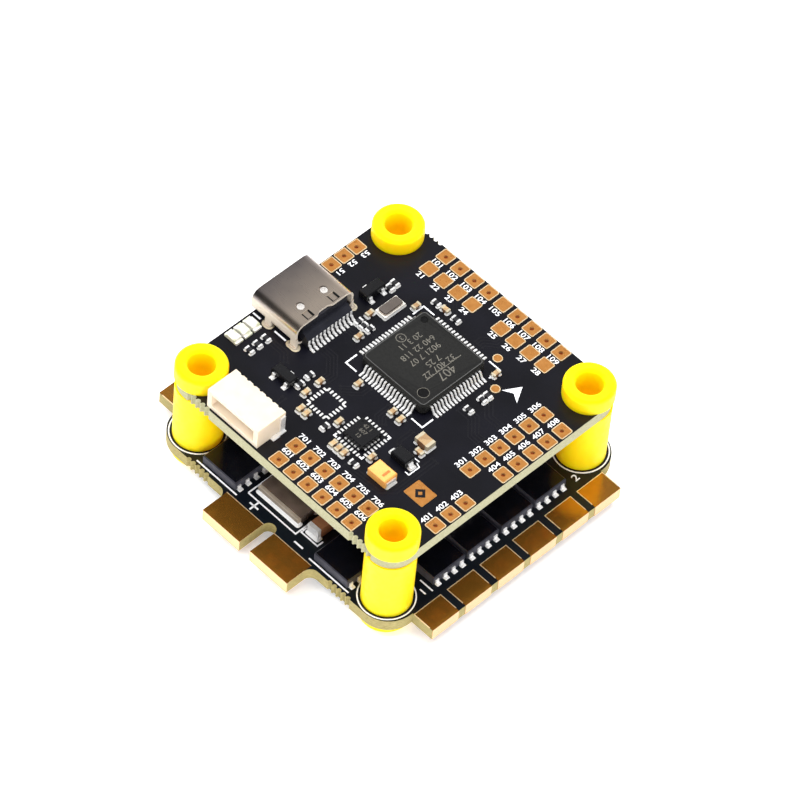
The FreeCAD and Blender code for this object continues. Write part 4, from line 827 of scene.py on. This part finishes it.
def pad_labels(build):
    """A number beside every solder pad on the flight controller."""
    counts = {}
    for part in sorted(FC_PADS, key=lambda p: (round(centre(p).y), round(centre(p).x))):
        spot = centre(part)
        span = size_of(part)
        if min(span.x, span.y) < 1.2 or max(span.x, span.y) > 2.2:
            continue
        row, place, turn = label_place(part, spot)
        counts[row] = counts.get(row, 0) + 1
        step = 10 if row in SHORT_ROWS else 100
        build.digits(str(row * step + counts[row]), place, LABEL_HEIGHT, turn)


def label_place(part, spot):
    """The row a pad belongs to, where its number stands and how it is turned."""
    gap = LABEL_GAP + LABEL_HEIGHT / 2
    if spot.y > 13:
        row = 1 if spot.y > 16 else 2
        return row, (spot.x, part[0].y - gap, FC_TOP), 0
    if spot.x > 12.5 and spot.y > -12:
        row = 3 if spot.x < 16 else 4
        return row, (part[0].x - gap, spot.y, FC_TOP), 90
    if spot.x < -15:
        return 5, (part[1].x + gap, spot.y, FC_TOP), -90
    row = 6 if spot.y < -16 else 7
    return row, (spot.x, part[1].y + gap, FC_TOP), 0


def ink_line(build, points, surface=FC_TOP, width=LINE_WIDTH, sign=1):
    low, high = sorted((surface - sign * BURIED, surface + sign * INK_RISE))
    build.ribbon(points, width, low, high)


def chip_corners(build):
    """Corner marks round the processor and the motion sensor."""
    low, high = box_of("mcu_leads")
    reach = 1.7
    gap = 0.08
    for x, across in ((low.x - gap, 1), (high.x + gap, -1)):
        for y, up in ((low.y - gap, 1), (high.y + gap, -1)):
            ink_line(build, ((x, y + up * reach), (x, y), (x + across * reach, y)))
    middle = centre(box_of("gyro_package"))
    corner = GYRO_RING["reach"] + 0.06
    arm = 0.38
    for across, up in ((1, 1), (1, -1), (-1, -1)):
        x, y = middle.x + across * corner, middle.y + up * corner
        ink_line(build, ((x, y - up * arm), (x, y), (x - across * arm, y)), width=BOLD_LINE_WIDTH)


def fc_legend():
    """Everything printed in white on the upper face of the flight controller."""
    build = Build()
    pad_labels(build)
    chip_corners(build)
    low, high = box_of("rectifier_diode")
    x = high.x + 0.85
    bar = ((low.x - 0.1, high.y + 0.4), (high.x + 0.35, high.y + 0.4))
    ink_line(build, bar, width=FINE_LINE_WIDTH)
    bracket = ((x - 0.6, high.y + 0.1), (x, high.y - 0.1), (x, low.y - 0.2), (x - 0.6, low.y - 0.2))
    ink_line(build, bracket, width=FINE_LINE_WIDTH)
    tip = Vector(ARROW_TIP)
    arrow = (tip, tip + Vector((-1.2, -2.1)), tip + Vector((0, -1.4)), tip + Vector((1.2, -2.1)))
    build.prism([point[:] for point in arrow], FC_TOP - BURIED, FC_TOP + INK_RISE)
    for start, end in ((-17.8, -16.6), (-14.3, -12.5)):
        ink_line(build, ((start, -4.9), (end, -4.9)), width=BOLD_LINE_WIDTH)
    low, high = box_of("crystal_ceramic")
    ink_line(build, ((low.x - 0.3, low.y - 0.1), (low.x - 0.3, low.y - 0.3), (low.x + 0.3, low.y - 0.3)))
    build.piece("fc_legend", INK)


def plain_badge():
    """Square gold pad with a plain diamond of bare mask in it."""
    build = Build()
    middle = (Vector(BADGE_LOW) + Vector(BADGE_HIGH)) / 2
    build.prism(rounded(BADGE_LOW, BADGE_HIGH, 0.12), FC_TOP - BURIED, FC_TOP + PAD_RISE)
    build.piece("plain_badge", FINISHES["gold_plating"])
    mark = Build()
    reach = 0.78
    diamond = [(middle.x + reach * x, middle.y + reach * y) for x, y in ((1, 0), (0, 1), (-1, 0), (0, -1))]
    core = [(middle.x + 0.4 * (x - middle.x), middle.y + 0.4 * (y - middle.y)) for x, y in diamond]
    mark.band(diamond, core, FC_TOP + PAD_RISE - 0.01, FC_TOP + PAD_RISE + 0.02)
    mark.piece("badge_mark", COPPER)


def pad_lips():
    """Pale rims round the gold pads of the flight controller."""
    build = Build()
    for part in FC_PADS:
        span = size_of(part)
        if min(span.x, span.y) < 0.6:
            continue
        round_spot = abs(span.x - span.y) < 0.02 and span.x < 1.2
        radius = span.x / 2 if round_spot else 0.2
        low, high = part[0].xy, part[1].xy
        grow = Vector((0.035, 0.035))
        inset = Vector((0.075, 0.075))
        outer = rounded(low - grow, high + grow, radius + 0.03, 6)
        inner = rounded(low + inset, high - inset, max(radius - 0.07, 0.05), 6)
        outer = [(min(max(x, FC_LOW.x), FC_HIGH.x), min(max(y, FC_LOW.y), FC_HIGH.y)) for x, y in outer]
        build.band(outer, inner, FC_TOP - BURIED, FC_TOP + PAD_RISE + 0.02)
    build.piece("pad_lips", LIP)


def laser(build, text, place, height, turn):
    """Digits marked by laser, in thin strokes."""
    build.digits(text, place, height, turn, MARK_RISE, bold=0.0, widen=1.0)


def chip_marks():
    """Laser-marked numbers on the packages of the flight controller."""
    build = Build()
    low, high = box_of("mcu_package")
    top = high.z - 0.02
    lines = (
        ("407", 1.15, 3.1),
        ("32 407 22", 0.82, 1.95),
        ("7 25", 0.82, 0.95),
        ("9021 7 07", 0.78, -0.35),
        ("640 22 118", 0.78, -1.5),
        ("20 3 11", 0.78, -2.75),
    )
    x, y = ((low + high) / 2).xy
    for text, height, across in lines:
        laser(build, text, (x + across, y + 0.5, top), height, -90)
    build.ribbon(((x + 2.42, y + 3.4), (x + 2.42, y - 2.0)), 0.09, top, top + MARK_RISE)
    spot = (x - 3.75, y + 0.1)
    build.band(circle(*spot, 0.62), circle(*spot, 0.53), top, top + MARK_RISE)
    laser(build, "3", (*spot, top), 0.6, -90)
    recess = (high.x - 1.55, low.y + 1.55)
    build.band(circle(*recess, 0.72), circle(*recess, 0.66), top, top + MARK_RISE)
    low, high = box_of("gyro_package")
    for row, text in enumerate(("42 1", "607", "13")):
        spot = ((low.x + high.x) / 2, high.y - 0.7 - 0.75 * row, high.z - 0.02)
        laser(build, text, spot, 0.5, 0)
    build.piece("chip_marks", LASER)


def ejector_marks():
    """Floors of the two round marks moulded into the processor package, painted near-black as a painted
    reflection of their polish.
    """
    build = Build()
    low, high = box_of("mcu_package")
    for x, y, radius in ((high.x - 1.55, low.y + 1.55, 0.62), (low.x + 1.1, high.y - 1.1, 0.38)):
        build.prism(circle(x, y, radius), high.z - 0.1, high.z - 0.035)
    build.piece("ejector_marks", PAINTED_DARK)


def painted_rim_highlight():
    """Painted highlight: a pale line round the top of the processor package, where its bevel catches the
    light.
    """
    build = Build()
    points = [vertex.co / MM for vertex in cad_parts["mcu_package"].data.vertices]
    top = max(point.z for point in points)
    rim = [point for point in points if point.z > top - 0.01]
    low = Vector((min(p.x for p in rim), min(p.y for p in rim)))
    high = Vector((max(p.x for p in rim), max(p.y for p in rim)))
    inset = Vector((0.1, 0.1))
    outer = rounded(low, high, 0.5, 4)
    inner = rounded(low + inset, high - inset, 0.4, 4)
    build.band(outer, inner, top - 0.03, top + 0.012)
    build.piece("painted_rim_highlight", BEVEL_GLINT)


def usb_finger_shade():
    """Painted shade: dark strips laid in the slits round the spring fingers in the top of the USB shell.
    """
    build = Build()
    edge = USB_HIGH.x - FINGER["behind"]
    rear, front = edge - FINGER["slit"] / 2, edge - FINGER["slit"] - FINGER["length"]
    half = (FINGER["width"] + FINGER["slit"]) / 2
    for side in (-1, 1):
        y = USB_MIDDLE + side * FINGER["aside"]
        path = ((front, y - half), (rear, y - half), (rear, y + half), (front, y + half))
        build.ribbon(path, FINGER["shade"], USB_HIGH.z - 0.24, USB_HIGH.z - 0.04)
    build.piece("usb_finger_shade", PAINTED_DARK)


def usb_dishes():
    """The hollow, shiny floors of the two dimples in the USB shell, painted brighter than the shell as a
    painted highlight.
    """
    build = Build()
    radius, depth = DIMPLE["radius"], DIMPLE["depth"]
    for side in (-1, 1):
        x, y = USB_HIGH.x - DIMPLE["behind"], USB_MIDDLE + side * DIMPLE["aside"]
        sections = [(circle(x, y, radius), USB_HIGH.z - 0.16)]
        for share in (1.0, 0.8, 0.6, 0.4, 0.2, 0.05):
            hollow = USB_HIGH.z + 0.004 - depth * (1 - share * share)
            sections.append((circle(x, y, radius * share), hollow))
        build.loft(sections)
    build.piece("usb_dishes", DIMPLE_HIGHLIGHT, smooth=True)


def tantalum_mark():
    """The bar across one end of the tantalum capacitor."""
    build = Build()
    low, high = box_of("tantalum_capacitor")
    start, end = high.x - 0.95, high.x - 0.62
    margin = 0.42
    outline = rounded((start, low.y + margin), (end, high.y - margin), 0.05)
    build.prism(outline, high.z - BURIED, high.z + MARK_RISE)
    build.piece("tantalum_mark", POLARITY)


def tab_lips():
    """Pale rims on the inner edges of the motor and battery pads."""
    build = Build()
    low, high = DRIVER_TOP - BURIED, DRIVER_TOP + PAD_RISE + 0.015
    width = 0.09
    for name, sign in (("left_motor_pads", 1), ("right_motor_pads", -1)):
        for part in islands(name):
            inner = part[1].x if sign > 0 else part[0].x
            outer = part[0].x + 0.5 if sign > 0 else part[1].x - 0.5
            near, far = part[0].y, part[1].y
            build.ribbon(((outer, near), (inner, near), (inner, far), (outer, far)), width, low, high)
    for part in islands("battery_pads"):
        inner = part[1].y
        left, right = part[0].x, part[1].x
        build.ribbon(((left, inner), (right, inner)), width, low, high)
    build.piece("tab_lips", LIP)


def grommet_rings(build, surface, sign):
    """A ring round each grommet, on the upper or lower face of the driver board."""
    low, high = sorted((surface - sign * BURIED, surface + sign * INK_RISE))
    for name in GROMMETS:
        spot = centre(box_of(name))
        build.band(circle(spot.x, spot.y, 3.36, 64), circle(spot.x, spot.y, 3.2, 64), low, high)


def polarity_signs(build, surface, sign):
    """A plus and a minus beside the battery tabs."""
    plus, minus = Vector(PLUS_CENTRE), Vector(MINUS_CENTRE)
    across, along = Vector((0.68, 0)), Vector((0, 0.68))
    for middle, arm in ((plus, across), (plus, along), (minus, across)):
        ink_line(build, (middle - arm, middle + arm), surface, BOLD_LINE_WIDTH, sign)


def driver_legend():
    """White print on the upper face of the driver board."""
    build = Build()
    grommet_rings(build, DRIVER_TOP, 1)
    for text, x, y in (("1", 17.6, -11.9), ("2", 17.7, 12.0), ("3", -17.6, -11.9), ("4", -17.7, 12.0)):
        build.digits(text, (x, y, DRIVER_TOP), CORNER_NUMBER_HEIGHT, math.copysign(90, x))
    low, high = box_of("shunt_terminals")
    corners = [(low.x - 0.6, low.y - 0.9), (high.x + 0.6, low.y - 0.9)]
    corners += [(high.x + 0.6, high.y + 0.4), (low.x - 0.6, high.y + 0.4)]
    ink_line(build, corners + corners[:1], DRIVER_TOP)
    for start, end in ((-12.3, -5.8), (5.9, 12.2)):
        ink_line(build, ((start, -18.15), (end, -18.15)), DRIVER_TOP)
    for side in (-1, 1):
        ink_line(build, ((side * 16.2, -11.0), (side * 18.2, -11.0)), DRIVER_TOP)
    ink_line(build, ((2.7, -15.4), (2.7, -16.3), (5.3, -16.3), (5.3, -15.4)), DRIVER_TOP)
    polarity_signs(build, DRIVER_TOP, 1)
    build.piece("driver_legend", INK)


def underside_legend():
    """White print on the lower face of the driver board."""
    build = Build()
    grommet_rings(build, DRIVER_BOTTOM, -1)
    polarity_signs(build, DRIVER_BOTTOM, -1)
    for side in (-1, 1):
        for y in (-11.0, 11.0):
            ink_line(build, ((side * 16.2, y), (side * 18.2, y)), DRIVER_BOTTOM, sign=-1)
    build.piece("underside_legend", INK)


# ---------------- copper under the mask


def bus(build, path, count, pitch, surface, sign=1):
    """Parallel covered tracks along one path, each ending in a covered via."""
    low, high = sorted((surface - sign * BURIED, surface + sign * TRACK_RISE))
    for step in range(count):
        line = offset_line(path, (step - (count - 1) / 2) * pitch)
        build.ribbon(line, TRACK_WIDTH, low, high)
        for end in (line[0], line[-1]):
            build.prism(circle(end.x, end.y, 0.2, 16), low - VIA_RISE, high + VIA_RISE)


# Tracks on the flight controller: their path, how many run side by side and how far apart.
FC_TOP_BUSES = (
    (((7.2, 3.2), (9.2, 3.2), (10.9, 1.5), (12.0, 1.5)), 4, 0.4),
    (((7.2, 6.2), (8.6, 6.2), (10.2, 4.6), (12.0, 4.6)), 3, 0.45),
    (((-2.6, 10.9), (-2.6, 11.6), (-4.4, 13.4)), 3, 0.42),
    (((2.2, 10.9), (2.2, 11.6), (3.4, 12.6), (3.4, 13.2)), 4, 0.4),
    (((-6.3, 3.4), (-7.2, 3.4), (-8.4, 1.6), (-8.9, 1.6)), 4, 0.36),
    (((-1.8, -2.6), (-1.8, -3.6), (-3.4, -5.2)), 4, 0.4),
    (((2.2, -2.6), (2.2, -4.4), (3.0, -5.2)), 4, 0.4),
    (((6.0, -3.2), (6.0, -5.2), (6.4, -5.6)), 2, 0.45),
    (((10.6, -4.2), (10.6, -10.4), (9.4, -11.6), (4.4, -11.9)), 3, 0.42),
    (((-9.0, -2.6), (-7.4, -2.6), (-5.6, -4.4), (-5.6, -5.4)), 4, 0.4),
    (((-13.6, -6.2), (-11.4, -6.2), (-10.4, -7.2)), 3, 0.42),
    (((-6.8, -10.6), (-6.8, -11.8), (-5.6, -12.6)), 2, 0.45),
)

# Grids of vias on the driver board: their middle, columns and rows.
VIA_PITCH = 1.1
VIA_FIELDS = [((x, y), 4, 5) for x in (-6.0, 6.0) for y in (-9.0, 9.0)]
VIA_FIELDS += [((0.0, y), 8, 2) for y in (-3.5, 3.5)]


def via_field(build, middle, columns, rows, surface):
    """A grid of covered vias under the board, which carry current and heat through it."""
    for column in range(columns):
        for row in range(rows):
            x = middle[0] + (column - (columns - 1) / 2) * VIA_PITCH
            y = middle[1] + (row - (rows - 1) / 2) * VIA_PITCH
            outer, inner = circle(x, y, 0.3, 16), circle(x, y, 0.12, 16)
            build.band(outer, inner, surface - INK_RISE, surface + BURIED)


def covered_tracks():
    """Tracks that show faintly under the solder mask of both boards."""
    build = Build()
    for path, count, pitch in FC_TOP_BUSES:
        bus(build, path, count, pitch, FC_TOP)
        bus(build, [(-x, y) for x, y in path], count, pitch, FC_BOTTOM, sign=-1)
    for side in (-1, 1):
        for y in (-9.5, -4.5, 0.5, 5.5, 10.0):
            path = ((side * 12.6, y), (side * 9.8, y), (side * 8.6, y * 0.86))
            bus(build, path, 3, 0.4, DRIVER_TOP)
            bus(build, path, 3, 0.4, DRIVER_BOTTOM, sign=-1)
    for middle, columns, rows in VIA_FIELDS:
        via_field(build, middle, columns, rows, DRIVER_BOTTOM)
    build.piece("covered_tracks", COPPER)


def painted_hole_shade():
    """Dark brown discs down the plated holes of the solder pads: the copper bore's brown, darkened as
    painted shade.
    """
    build = Build()
    for part in FC_PADS:
        spot = centre(part)
        if size_of(part).z >= 1.0:
            build.prism(circle(spot.x, spot.y, 0.33, 20), FC_TOP - 0.5, FC_TOP - 0.28)
    build.piece("painted_hole_shade", BORE_SHADE)


# ---------------- surroundings


def floor():
    """Wide pale table under the stack."""
    mesh = bmesh.new()
    bmesh.ops.create_grid(mesh, x_segments=24, y_segments=24, size=3.0)
    data = bpy.data.meshes.new("floor")
    mesh.to_mesh(data)
    mesh.free()
    glow = {"Emission Color": (1, 1, 1, 1), "Emission Strength": 0.4}
    finish = Finish("floor", {"Roughness": 0.8, "Specular IOR Level": 0.2, **glow})
    finish.mottled((226, 226, 226), (234, 234, 234), 40)
    data.materials.append(finish.material)
    made = bpy.data.objects.new("floor", data)
    bpy.context.scene.collection.objects.link(made)


def softbox(name, place, size, power):
    """A large soft lamp that lights the surfaces without being mirrored in them."""
    data = bpy.data.lights.new(name, "AREA")
    data.shape = "SQUARE"
    data.size = size
    data.energy = power
    lamp = bpy.data.objects.new(name, data)
    lamp.visible_glossy = False
    lamp.location = place
    lamp.rotation_euler = (Vector(LAMP_AIM) - Vector(place)).to_track_quat("-Z", "Y").to_euler()
    bpy.context.scene.collection.objects.link(lamp)


def daylight():
    """Pale surroundings: bright near the horizon and overhead, dim high up on the front side."""
    world = bpy.data.worlds.new("studio")
    bpy.context.scene.world = world
    world.use_nodes = True
    nodes = Nodes(world.node_tree)
    background = nodes.tree.nodes["Background"]
    direction = nodes.node("ShaderNodeTexCoord").outputs["Generated"]
    height = nodes.node("ShaderNodeSeparateXYZ", {0: direction}).outputs["Z"]
    azimuth = math.radians(VIEW_AZIMUTH)
    rearward = (-math.sin(azimuth), math.cos(azimuth), 0)
    side = nodes.node("ShaderNodeVectorMath", {0: direction, 1: rearward}, operation="DOT_PRODUCT")
    dim = nodes.range(side.outputs["Value"], 0.0, 0.55, 0.12, 1.0)
    horizon = nodes.range(height, 0.1, 0.3, 1.0, 0.0)
    level = nodes.calculate("MAXIMUM", dim, horizon)
    shades = nodes.node("ShaderNodeValToRGB", {0: height})
    stops = ((0.0, 1.0), (0.5, 0.9), (0.66, 0.66), (0.8, 0.55), (0.9, 0.8), (1.0, 1.0))
    ramp = shades.color_ramp
    while len(ramp.elements) < len(stops):
        ramp.elements.new(0.5)
    for element, (position, shade) in zip(ramp.elements, stops):
        element.position = position
        element.color = (shade, shade, shade, 1)
    nodes.tree.links.new(shades.outputs["Color"], background.inputs["Color"])
    strength = nodes.calculate("MULTIPLY", level, WORLD_STRENGTH)
    nodes.tree.links.new(strength, background.inputs["Strength"])


def camera():
    """The camera, looking at the middle of the stack from the front right corner."""
    azimuth, elevation, roll = (math.radians(a) for a in (VIEW_AZIMUTH, VIEW_ELEVATION, VIEW_ROLL))
    away = Vector((math.sin(azimuth), -math.cos(azimuth), math.tan(elevation))).normalized()
    data = bpy.data.cameras.new("camera")
    data.lens = VIEW_LENS
    data.sensor_width = 36
    data.clip_start = 0.01
    made = bpy.data.objects.new("camera", data)
    turned = away.to_track_quat("Z", "Y").to_matrix().to_4x4()
    place = Matrix.Translation(Vector(VIEW_AIM) * MM + away * VIEW_DISTANCE)
    made.matrix_world = place @ turned @ Matrix.Rotation(roll, 4, "Z")
    bpy.context.scene.collection.objects.link(made)
    bpy.context.scene.camera = made


dress_nodes()
fc_top_solder()
usb_leg_solder()
bare_lands()
driver_top_solder()
underside_solder()
fc_legend()
plain_badge()
pad_lips()
chip_marks()
ejector_marks()
painted_rim_highlight()
usb_dishes()
usb_finger_shade()
tantalum_mark()
tab_lips()
driver_legend()
underside_legend()
covered_tracks()
painted_hole_shade()

floor()
daylight()
softbox("key", (-0.35, -0.25, 0.55), 0.45, 4.4)
softbox("top", (0.05, 0.15, 0.8), 0.5, 6.0)
softbox("fill", (0.55, -0.3, 0.3), 0.4, 3.0)
camera()

view = bpy.context.scene.view_settings
view.view_transform = "Standard"
view.look = "None"
